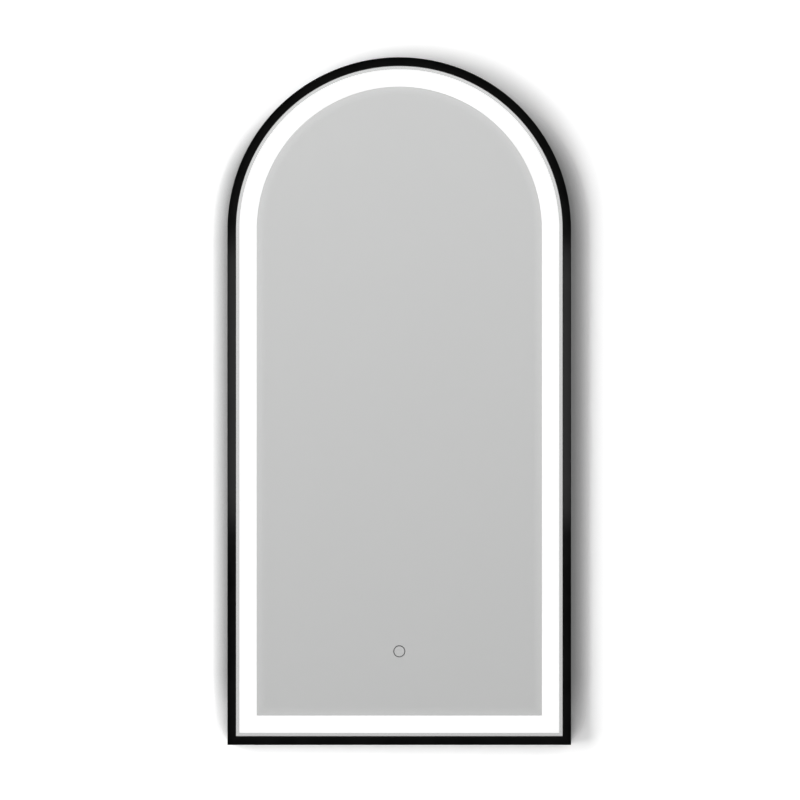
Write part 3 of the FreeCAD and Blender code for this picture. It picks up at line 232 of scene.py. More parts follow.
@dataclass(frozen=True)
class ArchLine:
    """The outline that the frame, glass, silver and light follow: half circle, legs and foot.

    The stations next to each mitre stand a hair from it, and the next lie at a share of the leg.
    """

    half_width: float = 0.250
    leg: float = 0.750
    arch_steps: int = 168
    leg_steps: int = 14
    foot_steps: int = 12
    mitre_hair: float = 0.00035
    next_share: float = 0.02

    def over(self, section: Array) -> Array:
        """Carries a section up the right leg, round the arch and down the left leg.

        With R the half width, L the leg and i a point's inset, a leg runs at x = R - i from
        z = -(L - i) to 0, and the arch at x = (R - i) cos(a), z = (R - i) sin(a).

        Args:
            section: Inset and depth pairs.

        Returns:
            Places as stations by section points by 3.
        """
        inset, depth = section.T
        up = np.concatenate(([0.0, self.mitre_hair / self.leg],
                             np.linspace(self.next_share, 1, self.leg_steps)[:-1]))[:, None]
        angle = np.linspace(0, np.pi, self.arch_steps + 1)[:, None]
        reach, drop = self.half_width - inset, self.leg - inset
        leg = np.stack((np.tile(reach, (len(up), 1)), -drop * (1 - up)), -1)
        arch = np.stack((reach * np.cos(angle), reach * np.sin(angle)), -1)
        across = np.concatenate((leg, arch, leg[::-1] * (-1, 1)))
        off = np.broadcast_to(-depth[None, :, None], across.shape[:2] + (1,))
        return np.concatenate((across[..., :1], off, across[..., 1:]), -1)

    def along_foot(self, section: Array) -> Array:
        """Carries a section along the foot: x = (R - i)(2t - 1), z = -(L - i) for t from 0 to 1.

        Args:
            section: Inset and depth pairs.

        Returns:
            Places as stations by section points by 3.
        """
        inset, depth = section.T
        hair = self.mitre_hair / (2 * self.half_width)
        part = np.concatenate(([0.0, hair], np.linspace(0, 1, self.foot_steps + 1)[1:-1],
                               [1 - hair, 1.0]))[:, None]
        across = (self.half_width - inset) * (2 * part - 1)
        up = np.broadcast_to(inset - self.leg, across.shape)
        off = np.broadcast_to(-depth, across.shape)
        return np.stack((across, off, up), -1)

    def round(self, section: Array) -> Array:
        """Carries a section all the way round: the arch and its legs, then back along the foot."""
        foot = self.along_foot(section)
        return np.concatenate((self.over(section), foot[1:-1]))


def clipped_ends(places: Array, low_inset: float, high_depth: float, line: ArchLine) -> Array:
    """Draws the end stations under the outer faces, which leaves a hairline at each mitre.

    An end point deeper than the limit is brought back to it, and one nearer to the outline than
    the least inset is moved in to it.

    Args:
        places: Stations by section points by 3.
        low_inset: The least inset at an end.
        high_depth: The greatest depth at an end.
        line: The outline.

    Returns:
        The places with both ends changed.
    """
    ends = places[[0, -1]]
    ends[..., 0] = np.clip(ends[..., 0], low_inset - line.half_width, line.half_width - low_inset)
    ends[..., 1] = np.maximum(ends[..., 1], -high_depth)
    ends[..., 2] = np.maximum(ends[..., 2], low_inset - line.leg)
    places[[0, -1]] = ends
    return places


LINE = ArchLine()


# ---- Finishes ----


class Graph:
    """The node tree of a material or of the room, with short calls for the nodes they share."""

    shader: bpy.types.Node
    output: bpy.types.Node

    def __init__(self, owner: bpy.types.Material | bpy.types.World) -> None:
        """Empties the owner's tree and adds the place that its patterns read.

        Args:
            owner: The material, or the room's world.
        """
        owner.use_nodes = True
        self.tree = owner.node_tree
        self.tree.nodes.clear()
        self.place = self.node("ShaderNodeTexCoord").outputs["Object"]

    @classmethod
    def surface(cls, material: bpy.types.Material) -> "Graph":
        """A material's tree, with its shader joined to its output.

        Args:
            material: The material.

        Returns:
            The tree.
        """
        graph = cls(material)
        graph.shader = graph.node("ShaderNodeBsdfPrincipled")
        graph.output = graph.node("ShaderNodeOutputMaterial", Surface=graph.shader.outputs[0])
        return graph

    def node(self, kind: str, settings: dict | None = None, **inputs: object) -> bpy.types.Node:
        """Adds a node.

        Args:
            kind: The node's type.
            settings: Its own properties.
            inputs: Its sockets by name with _ for a space; a socket is joined, a value is set.

        Returns:
            The node.
        """
        made = self.tree.nodes.new(kind)
        for key, value in (settings or {}).items():
            setattr(made, key, value)
        for key, value in inputs.items():
            self.fill(made.inputs[key.replace("_", " ")], value)
        return made

    def fill(self, socket: bpy.types.NodeSocket, value: object) -> None:
        """Joins a socket to another, or sets its value.

        Args:
            socket: The socket to fill.
            value: A socket to join to it, or a plain value.
        """
        if isinstance(value, bpy.types.NodeSocket):
            self.tree.links.new(value, socket)
        else:
            socket.default_value = value

    def set(self, **inputs: object) -> None:
        """Fills the shader's sockets by name, with _ for a space."""
        for key, value in inputs.items():
            self.fill(self.shader.inputs[key.replace("_", " ")], value)

    def sum(self, operation: str, *values: object) -> bpy.types.NodeSocket:
        """One step of arithmetic.

        Args:
            operation: The math node's operation.
            values: Its numbers or sockets.

        Returns:
            The result.
        """
        made = self.node("ShaderNodeMath", {"operation": operation})
        for socket, value in zip(made.inputs, values):
            self.fill(socket, value)
        return made.outputs[0]

    def noise(self, scale: float, detail: float = 3.0,
              stretch: Colour = (1.0, 1.0, 1.0)) -> bpy.types.NodeSocket:
        """Cloudy noise from 0 to 1.

        Args:
            scale: Its scale per metre.
            detail: How many finer layers it has.
            stretch: What each axis is multiplied by first.

        Returns:
            The noise.
        """
        vector = self.node("ShaderNodeMapping", Vector=self.place, Scale=stretch).outputs[0]
        return self.node("ShaderNodeTexNoise", Vector=vector, Scale=scale,
                         Detail=detail).outputs["Fac"]

    def span(self, value: object, low: float, high: float, to_low: float,
             to_high: float) -> bpy.types.NodeSocket:
        """Carries a value from one range to another, held at its ends.

        Args:
            value: The socket.
            low: Where its range starts.
            high: Where its range ends.
            to_low: What low becomes.
            to_high: What high becomes.

        Returns:
            The result.
        """
        made = self.node("ShaderNodeMapRange", Value=value, From_Min=low, From_Max=high,
                         To_Min=to_low, To_Max=to_high)
        return made.outputs[0]

    def blend(self, share: object, first: object, second: object) -> bpy.types.NodeSocket:
        """A colour between two.

        Args:
            share: How far it lies from the first to the second, from 0 to 1.
            first: A colour, or a socket.
            second: A colour, or a socket.

        Returns:
            The colour.
        """
        made = self.node("ShaderNodeMix", {"data_type": "RGBA"})
        self.fill(made.inputs["Factor"], share)
        for socket, value in zip((made.inputs[6], made.inputs[7]), (first, second)):
            self.fill(socket, (*value, 1.0) if isinstance(value, tuple) else value)
        return made.outputs[2]

    def axes(self) -> tuple[bpy.types.NodeSocket, ...]:
        """The X, Y and Z of the place."""
        return tuple(self.node("ShaderNodeSeparateXYZ", Vector=self.place).outputs)

    def inset(self) -> bpy.types.NodeSocket:
        """The distance in from the frame's outline.

        Over the springing it is R - sqrt(x x + z z), beside a leg R - |x|, and over the foot
        z + L; the least of them holds.

        Returns:
            The distance in metres.
        """
        across, _, up = self.axes()
        over = self.sum("MAXIMUM", up, 0.0)
        square = self.sum("MULTIPLY_ADD", over, over, self.sum("MULTIPLY", across, across))
        side = self.sum("SUBTRACT", LINE.half_width, self.sum("SQRT", square))
        return self.sum("MINIMUM", side, self.sum("ADD", up, LINE.leg))

    def relief(self, height: bpy.types.NodeSocket, distance: float, strength: float = 1.0) -> None:
        """Gives the shader bumps of a height in metres."""
        bump = self.node("ShaderNodeBump", Height=height, Distance=distance, Strength=strength)
        self.set(Normal=bump.outputs[0])


@dataclass(frozen=True)
class Finish:
    """A moulded or coated surface: cloudy colour, uneven gloss and a fine grain.

    Scales are per metre. The colour and the roughness each wander by a share of themselves.
    """

    name: str
    colour: Colour
    roughness: float = 0.45
    metallic: float = 0.0
    ior: float = 1.45
    drift: float = 0.12
    drift_scale: float = 30.0
    rough_drift: float = 0.15
    grain_scale: float = 1400.0
    grain_height: float = 0.00002

    @lru_cache(maxsize=None)
    def material(self) -> bpy.types.Material:
        """The finish as a material, made once.

        Returns:
            The material.
        """
        material = bpy.data.materials.new(self.name)
        graph = Graph.surface(material)
        graph.set(Metallic=self.metallic, IOR=self.ior)
        self.paint(graph)
        return material

    def shades(self, share: float) -> tuple[Colour, Colour]:
        """The colour made darker and lighter by a share of itself."""
        return (tuple(part * (1 - share) for part in self.colour),
                tuple(min(1.0, part * (1 + share)) for part in self.colour))

    def paint(self, graph: Graph) -> None:
        """Joins colour, roughness and grain to the shader.

        Args:
            graph: The material's tree.
        """
        cloud = graph.span(graph.noise(self.drift_scale), *CLOUD, 0, 1)
        graph.set(Base_Color=graph.blend(cloud, *self.shades(self.drift)))
        self.wear(graph)

    def wear(self, graph: Graph) -> None:
        """Lets the gloss wander and adds the grain."""
        self.gloss(graph, graph.noise(self.drift_scale * 3, 4.0))
        graph.relief(graph.noise(self.grain_scale, 2.0), self.grain_height)

    def gloss(self, graph: Graph, pattern: bpy.types.NodeSocket) -> None:
        """Lets the roughness follow a pattern."""
        low, high = (self.roughness * (1 + sign * self.rough_drift) for sign in (-1, 1))
        graph.set(Roughness=graph.span(pattern, *CLOUD, low, min(high, 1.0)))


@dataclass(frozen=True)
class Spangle(Finish):
    """Zinc dipped steel: cells of crystal, each with a tone and a gloss of its own."""

    cell_scale: float = 130.0
    cell_share: float = 0.07
    streak: Colour = (1.0, 1.0, 9.0)
    wobble_part: float = 0.35
    mixed_range: Pair = (0.15, 0.85)

    def paint(self, graph: Graph) -> None:
        """Joins the crystals, a wobble between them and faint rolling lines to the shader.

        Args:
            graph: The material's tree.
        """
        wobble = graph.noise(self.cell_scale * 2, 2.0)
        cells = graph.node("ShaderNodeTexVoronoi", {"feature": "F1"}, Vector=graph.place,
                           Scale=self.cell_scale, Randomness=1.0)
        tone = graph.node("ShaderNodeSeparateColor", Color=cells.outputs["Color"]).outputs[0]
        mixed = graph.sum("MULTIPLY_ADD", wobble, self.wobble_part,
                          graph.sum("MULTIPLY", tone, 1 - self.wobble_part))
        graph.set(Base_Color=graph.blend(graph.span(mixed, *self.mixed_range, 0, 1),
                                         *self.shades(self.cell_share)))
        self.gloss(graph, mixed)
        lines = graph.noise(self.grain_scale / 3, 2.0, self.streak)
        graph.relief(graph.sum("ADD", lines, tone), self.grain_height)


@dataclass(frozen=True)
class Plated(Finish):
    """Turned or stamped metal under bright plating: fine lines and a few dull patches."""

    lines: Colour = (1.0, 12.0, 1.0)
    patch_range: Pair = (0.35, 0.65)

    def paint(self, graph: Graph) -> None:
        """Joins the tooling lines and the dull patches to the shader.

        Args:
            graph: The material's tree.
        """
        fine = graph.noise(self.grain_scale, 3.0, self.lines)
        patch = graph.noise(self.drift_scale * 4, 3.0)
        graph.set(Base_Color=graph.blend(graph.span(patch, *self.patch_range, 0, 1),
                                         *self.shades(self.drift)))
        self.gloss(graph, graph.sum("MULTIPLY_ADD", fine, 0.5, graph.sum("MULTIPLY", patch, 0.5)))
        graph.relief(fine, self.grain_height)


@dataclass(frozen=True)
class PowderCoat(Finish):
    """Baked powder paint: an orange peel of low swells with a fine grain on them."""

    peel_scale: float = 420.0
    # Reach and share of the painted light from the band, paler towards the lip's inner edge.
    inner_edge: float = 0.0125
    band_light_part: float = 0.7
    grain_part: float = 0.3

    def paint(self, graph: Graph) -> None:
        """Joins the peel, the grain and a slow change of gloss to the shader.

        Its colour is also painted paler from the outline to the lip's inner edge, as light from the
        lit band beside it.

        Args:
            graph: The material's tree.
        """
        cloud = graph.span(graph.noise(self.drift_scale), *CLOUD, 0, 1)
        # Painted light: the coat is made paler from the outline to the lip's inner edge, standing
        # in for the lit band's light on the lip.
        inward = graph.span(graph.inset(), 0.0, self.inner_edge, 0.0, self.band_light_part)
        share = graph.sum("MULTIPLY_ADD", cloud, 1 - self.band_light_part, inward)
        graph.set(Base_Color=graph.blend(share, *self.shades(self.drift)))
        self.gloss(graph, graph.noise(self.drift_scale * 2, 3.0))
        peel = graph.noise(self.peel_scale, 1.0)
        height = graph.sum("MULTIPLY_ADD", graph.noise(self.grain_scale, 2.0), self.grain_part,
                           peel)
        graph.relief(height, self.grain_height)


@dataclass(frozen=True)
class Silvering(Finish):
    """Silver on the back of glass, painted paler beside the etched band as the band's glow, and
    grey paint behind.
    """

    paint_depth: float = 0.0319
    band_inner: float = 0.0425
    band_outer: float = 0.0175
    # Reach and share of the painted glow of the lit band on the silver.
    glow_reach: float = 0.016
    glow_share: float = 0.7
    margin_overlap: float = 0.001
    haze_scale: float = 9.0
    haze_share: float = 0.04
    band_glow_silver: Colour = (0.985, 0.985, 0.985)
    backing: Colour = (0.16, 0.17, 0.18)
    backing_roughness: float = 0.6

    def paint(self, graph: Graph) -> None:
        """Joins the silver, the painted glow of the band beside it and in the margin, and the
        backing paint to the shader.

        Args:
            graph: The material's tree.
        """
        inset = graph.inset()
        _, deep, _ = graph.axes()
        behind = graph.sum("GREATER_THAN", deep, -self.paint_depth)
        # Painted glow: the silver is made paler near the lit band and over the margin between band
        # and frame, standing in for the band's light.
        near = graph.node("ShaderNodeMapRange", {"interpolation_type": "SMOOTHERSTEP"},
                          Value=inset, From_Min=self.band_inner,
                          From_Max=self.band_inner + self.glow_reach,
                          To_Min=self.glow_share, To_Max=0.0)
        margin = graph.sum("LESS_THAN", inset, self.band_outer + self.margin_overlap)
        bright = graph.sum("MAXIMUM", near.outputs[0], margin)
        haze = graph.span(graph.noise(self.haze_scale, 2.0), *CLOUD, 0.0, self.haze_share)
        silver = graph.blend(graph.sum("ADD", bright, haze), self.colour, self.band_glow_silver)
        graph.set(Base_Color=graph.blend(behind, silver, self.backing))
        graph.set(Metallic=graph.sum("SUBTRACT", 1.0, behind))
        graph.set(Roughness=graph.span(behind, 0, 1, self.roughness, self.backing_roughness))


@dataclass(frozen=True)
class PaneGlass(Finish):
    """Clear float glass whose ground edges are greener and duller than its faces."""

    edge: Colour = (0.52, 0.74, 0.66)
    edge_inset: float = 0.00395
    edge_roughness: float = 0.35

    def paint(self, graph: Graph) -> None:
        """Joins the clear faces and the ground edge to the shader.

        Args:
            graph: The material's tree.
        """
        rim = graph.sum("LESS_THAN", graph.inset(), self.edge_inset)
        graph.set(Base_Color=graph.blend(rim, self.colour, self.edge), Transmission_Weight=1.0)
        graph.set(Roughness=graph.span(rim, 0, 1, self.roughness, self.edge_roughness))


@dataclass(frozen=True)
class Lit(Finish):
    """An opal surface that glows: even light with the faintest cloud in it."""

    glow: Colour = (1.0, 1.0, 1.0)
    strength: float = 1.4
    dimmest: float = 0.97

    def paint(self, graph: Graph) -> None:
        """Joins the cloud to the colour and the glow to the shader.

        Args:
            graph: The material's tree.
        """
        super().paint(graph)
        cloud = graph.noise(self.drift_scale)
        dim = tuple(part * self.dimmest for part in self.glow)
        graph.set(Emission_Color=graph.blend(cloud, dim, self.glow),
                  Emission_Strength=self.strength)


@dataclass(frozen=True)
class Striped(Finish):
    """A sheath with a second colour in long stripes."""

    second: Colour = (0.75, 0.62, 0.04)
    stripe_scale: float = 260.0
    stripe_edge: Pair = (0.45, 0.55)

    def paint(self, graph: Graph) -> None:
        """Joins the stripes, the gloss and the grain to the shader.

        Args:
            graph: The material's tree.
        """
        wave = graph.node("ShaderNodeTexWave", {"bands_direction": "Y"}, Vector=graph.place,
                          Scale=self.stripe_scale, Distortion=0.0)
        stripe = graph.span(wave.outputs["Fac"], *self.stripe_edge, 0, 1)
        graph.set(Base_Color=graph.blend(stripe, self.colour, self.second))
        self.wear(graph)


@dataclass(frozen=True)
class Tracked(Finish):
    """A board or heating film: raised tracks that run in rows under a tinted mask."""

    track: Colour = (0.12, 0.45, 0.2)
    track_scale: float = 120.0
    track_share: float = 0.5
    track_width: float = 0.02
    track_soft: float = 0.1
    pale_block: float = 0.3

    def paint(self, graph: Graph) -> None:
        """Joins the tracks to the colour, the gloss and the bumps.

        Args:
            graph: The material's tree.
        """
        flat = graph.node("ShaderNodeMapping", Vector=graph.place,
                          Rotation=(math.radians(90), 0.0, 0.0)).outputs[0]
        brick = graph.node("ShaderNodeTexBrick", {"offset": 0.5}, Vector=flat,
                           Scale=self.track_scale, Mortar_Smooth=self.track_soft,
                           Mortar_Size=self.track_width * self.track_share,
                           Color1=(0, 0, 0, 1), Color2=(*(self.pale_block,) * 3, 1),
                           Mortar=(1, 1, 1, 1))
        line = graph.node("ShaderNodeSeparateColor", Color=brick.outputs["Color"]).outputs[0]
        graph.set(Base_Color=graph.blend(line, self.colour, self.track))
        self.gloss(graph, line)
        graph.relief(line, self.grain_height)


class Shade(Enum):
    """Each finish of the mirror."""

    POWDER = PowderCoat("black_powder_coat", (0.0026, 0.0026, 0.0026), 0.34, drift=0.85,
                        grain_height=0.000012)
    GLASS = PaneGlass("clear_float_glass", (0.989, 0.992, 0.99), 0.0, ior=1.5)
    SILVER = Silvering("silver_on_glass", (0.9, 0.9, 0.9), 0.0, metallic=1.0)
    ETCHED = Lit("etched_and_lit", (0.6, 0.6, 0.6), 0.55, drift_scale=12.0, strength=0.88)
    OPAL = Lit("lit_opal_sheet", (0.93, 0.93, 0.93), 0.5, drift_scale=12.0, strength=1.2)
    CHIP = Lit("light_chip_resin", (0.9, 0.72, 0.2), 0.3, drift_scale=400.0,
               glow=(1.0, 0.95, 0.85), strength=1.0)
    RUBBER = Finish("black_rubber", (0.018, 0.018, 0.018), 0.72, grain_height=0.00004)
    FOAM = Finish("white_foam_tape", (0.78, 0.78, 0.75), 0.9, grain_scale=2600.0,
                  grain_height=0.00008)
    WHITE_STEEL = PowderCoat("white_painted_steel", (0.8, 0.8, 0.79), 0.4, drift=0.04)
    STRIP = Tracked("white_solder_mask", (0.82, 0.82, 0.79), 0.4, track=(0.9, 0.88, 0.8),
                    track_scale=60.0, grain_height=0.00003)
    WHITE_PLASTIC = Finish("white_moulded_plastic", (0.78, 0.78, 0.75), 0.42)
    GREY_PLASTIC = Finish("grey_moulded_plastic", (0.3, 0.31, 0.32), 0.45)
    BLACK_PLASTIC = Finish("black_moulded_plastic", (0.022, 0.022, 0.022), 0.4)
    ZINC_SHEET = Spangle("galvanised_sheet", (0.5, 0.52, 0.535), 0.42, metallic=1.0,
                         rough_drift=0.2, grain_height=0.000012)
    ZINC_PRESSING = Spangle("galvanised_pressing", (0.66, 0.675, 0.69), 0.33, metallic=1.0,
                            rough_drift=0.2, grain_height=0.000012, cell_scale=210.0,
                            streak=(9.0, 1.0, 1.0))
    ZINC_PLATE = Plated("bright_zinc_plate", (0.66, 0.66, 0.64), 0.3, metallic=1.0, drift=0.1,
                        rough_drift=0.3)
    RIVET = Plated("drawn_aluminium", (0.74, 0.74, 0.75), 0.34, metallic=1.0, drift=0.08)
    CASTING = Plated("die_cast_alloy", (0.45, 0.45, 0.46), 0.5, metallic=1.0, lines=(1.0, 1.0, 1.0))
    BRASS = Plated("plain_brass", (0.76, 0.61, 0.33), 0.3, metallic=1.0)
    TINNED = Plated("tinned_copper", (0.68, 0.68, 0.66), 0.33, metallic=1.0)
    BOARD = Tracked("green_board", (0.015, 0.13, 0.05), 0.3, grain_height=0.00005)
    CORE = Striped("taped_ferrite_core", (0.55, 0.4, 0.05), 0.3, second=(0.62, 0.47, 0.08),
                   stripe_scale=90.0)
    SLEEVE = Striped("capacitor_sleeve", (0.02, 0.035, 0.09), 0.22, second=(0.03, 0.05, 0.12),
                     stripe_scale=60.0)
    FILM = Tracked("amber_heating_film", (0.62, 0.34, 0.08), 0.25, track=(0.5, 0.42, 0.3),
                   track_scale=28.0, track_share=2.0, grain_height=0.00004)
    GREY_FILM = Finish("dark_grey_film", (0.225, 0.225, 0.225), 0.6, drift=0.05,
                       drift_scale=120.0)
    GREY_LEAD = Finish("grey_lead_sheath", (0.33, 0.33, 0.33), 0.5, grain_scale=900.0)
    WHITE_LEAD = Finish("white_lead_sheath", (0.76, 0.76, 0.74), 0.48, grain_scale=900.0)
    EARTH_LEAD = Striped("green_and_yellow_sheath", (0.08, 0.34, 0.05), 0.45)


def dress(shade: Shade, *nodes: str) -> None:
    """Gives CAD nodes a finish in place of the one they were packed with.

    Args:
        shade: The finish.
        nodes: The nodes' names.
    """
    for name in nodes:
        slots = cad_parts[name].data.materials
        slots.clear()
        slots.append(shade.value.material())
        LOG.info("%s: %s", name, shade.value.name)


# ---- Sub-assemblies ----


@dataclass
class BlackFrame:
    """The bent extrusion of the arch and legs, with the foot mitred to it.

    The section, in millimetres of inset and depth, is an outer wall with a front lip that holds
    the glass, a rib for the corner keys and a rear flange for the panel.
    """

    skin_back: float = 0.12
    wall: float = 2.0
    rear: float = 2.0
    front: float = 40.0
    lip: Pair = (12.5, 38.0)
    rib_reach: float = 7.5
    rib: Pair = (14.4, 15.6)
    flange_reach: float = 14.0
    flange: Pair = (10.2, 11.7)
    edge_round: float = 1.2
    lip_round: float = 0.4
    soft: float = 0.25
    section_steps: int = 6
    hairline: float = 0.12

    def section(self) -> Array:
        """The section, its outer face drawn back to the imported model's chords.

        Returns:
            Points by 2, in metres.
        """
        lip_reach, lip_back = self.lip
        corners = [(self.skin_back, self.rear), (self.skin_back, self.front),
                   (lip_reach, self.front), (lip_reach, lip_back), (self.wall, lip_back)]
        for reach, (back, front) in ((self.rib_reach, self.rib), (self.flange_reach, self.flange)):
            corners += [(self.wall, front), (reach, front), (reach, back), (self.wall, back)]
        corners.append((self.wall, self.rear))
        radii = [self.soft, self.edge_round, self.lip_round] + [self.soft] * (len(corners) - 3)
        return rounded(corners, radii, self.section_steps)

    def build(self) -> None:
        """Makes the arch and the foot and gives the corner keys their metal."""
        section = self.section()
        low_inset = (self.skin_back + self.hairline) * MM
        high_depth = (self.front - self.hairline) * MM
        for name, node, places in (
                ("frame_arch_extrusion", "frame_arch", LINE.over(section)),
                ("frame_foot_extrusion", "frame_bottom_rail", LINE.along_foot(section))):
            places = clipped_ends(places, low_inset, high_depth, LINE)
            Skin.grid(places, wrap_columns=True, cap=True).piece(
                name, Shade.POWDER.value, Body.MIRROR, (node,), "black_powder_coat")
        dress(Shade.CASTING, "corner_key_left", "corner_key_right")


@dataclass
class MirrorPane:
    """The glass, the silver behind it and the etched line of the touch ring."""

    edge_inset: float = 3.5
    arris: float = 0.45
    glass_depths: Pair = (32.0, 37.0)
    silver_depths: Pair = (31.8, 31.98)
    margin: Pair = (3.5, 17.5)
    field_inset: float = 42.5
    touch_up: float = -614.0
    touch_radii: Pair = (7.325, 8.775)
    circle_steps: int = 64

    def glass(self) -> Skin:
        """A plate with its edges ground: loops down the edge, closed by the two faces.

        Returns:
            The plate.
        """
        back, front = self.glass_depths
        low, ground = self.edge_inset, self.edge_inset + self.arris
        loops = np.array([(ground, front), (low, front - self.arris), (low, back + self.arris),
                          (ground, back)]) * MM
        return Skin.grid(LINE.round(loops).transpose(1, 0, 2), wrap_columns=True, cap=True)

    def silver(self) -> Skin:
        """The margin's ring, the middle field round the touch ring, and the dot inside it.

        The field is stretched from the touch ring's circle to the outline: each outline point
        has on the circle the point in its own direction from the ring's centre, so the loops
        at both depths join in a closed band.

        Returns:
            The three islands of silver.
        """
        back, front = self.silver_depths
        low, high = self.margin
        ring = LINE.round(np.array([(low, back), (low, front), (high, front), (high, back)]) * MM)
        outline = LINE.round(np.array([(self.field_inset, front), (self.field_inset, back)]) * MM)
        centre = np.array((0.0, 0.0, self.touch_up * MM))
        away = (outline - centre) * (1, 0, 1)
        away /= np.linalg.norm(away, axis=2, keepdims=True)
        circle = centre + away * (self.touch_radii[1] * MM) + outline * (0, 1, 0)
        middle = np.concatenate((outline, circle[:, ::-1]), 1)
        inner = self.touch_radii[0]
        dot = spun([(0, back), (inner, back), (inner, front), (0, front)], self.circle_steps)
        return Skin.joined([Skin.grid(ring, wrap_rows=True, wrap_columns=True),
                            Skin.grid(middle, wrap_rows=True, wrap_columns=True),
                            dot.copied(centre[None])])

    def build(self) -> None:
        """Makes the glass and the silver, and dresses what holds and backs them."""
        self.glass().piece("glass_pane", Shade.GLASS.value, Body.MIRROR, ("mirror_glass",),
                           "clear_glass")
        self.silver().piece("silver_coat", Shade.SILVER.value, Body.MIRROR,
                            ("mirror_silvering",), "silver_layer")
        dress(Shade.RUBBER, "front_gasket", "setting_blocks")
        dress(Shade.FILM, "demister_pad")
        dress(Shade.BLACK_PLASTIC, "demister_connector")


@dataclass
class LightBand:
    """The etched band, with the opal sheet, channel and light strip behind it."""

    band: Pair = (17.5, 42.5)
    depths: Pair = (31.82, 31.98)

    def build(self) -> None:
        """Makes the etching as a thin ring in the silver's gap, and dresses the light."""
        low, high = self.band
        back, front = self.depths
        section = np.array([(low, back), (low, front), (high, front), (high, back)]) * MM
        Skin.grid(LINE.round(section), wrap_rows=True, wrap_columns=True).piece(
            "etched_band", Shade.ETCHED.value, Body.MIRROR, (), "opal_sheet")
        dress(Shade.OPAL, "light_diffuser")
        dress(Shade.FOAM, "diffuser_tape")
        dress(Shade.WHITE_STEEL, "light_channel")
        dress(Shade.STRIP, "led_strip")
        dress(Shade.CHIP, "led_chips")
        dress(Shade.WHITE_PLASTIC, "strip_connector")
        dress(Shade.RUBBER, "channel_eyelet")


@dataclass(frozen=True)
class Screw:
    """A domed screw in millimetres. The seat is the depth of the face that it clamps."""

    head: float
    dome: float
    seat: float
    shank: float
    length: float


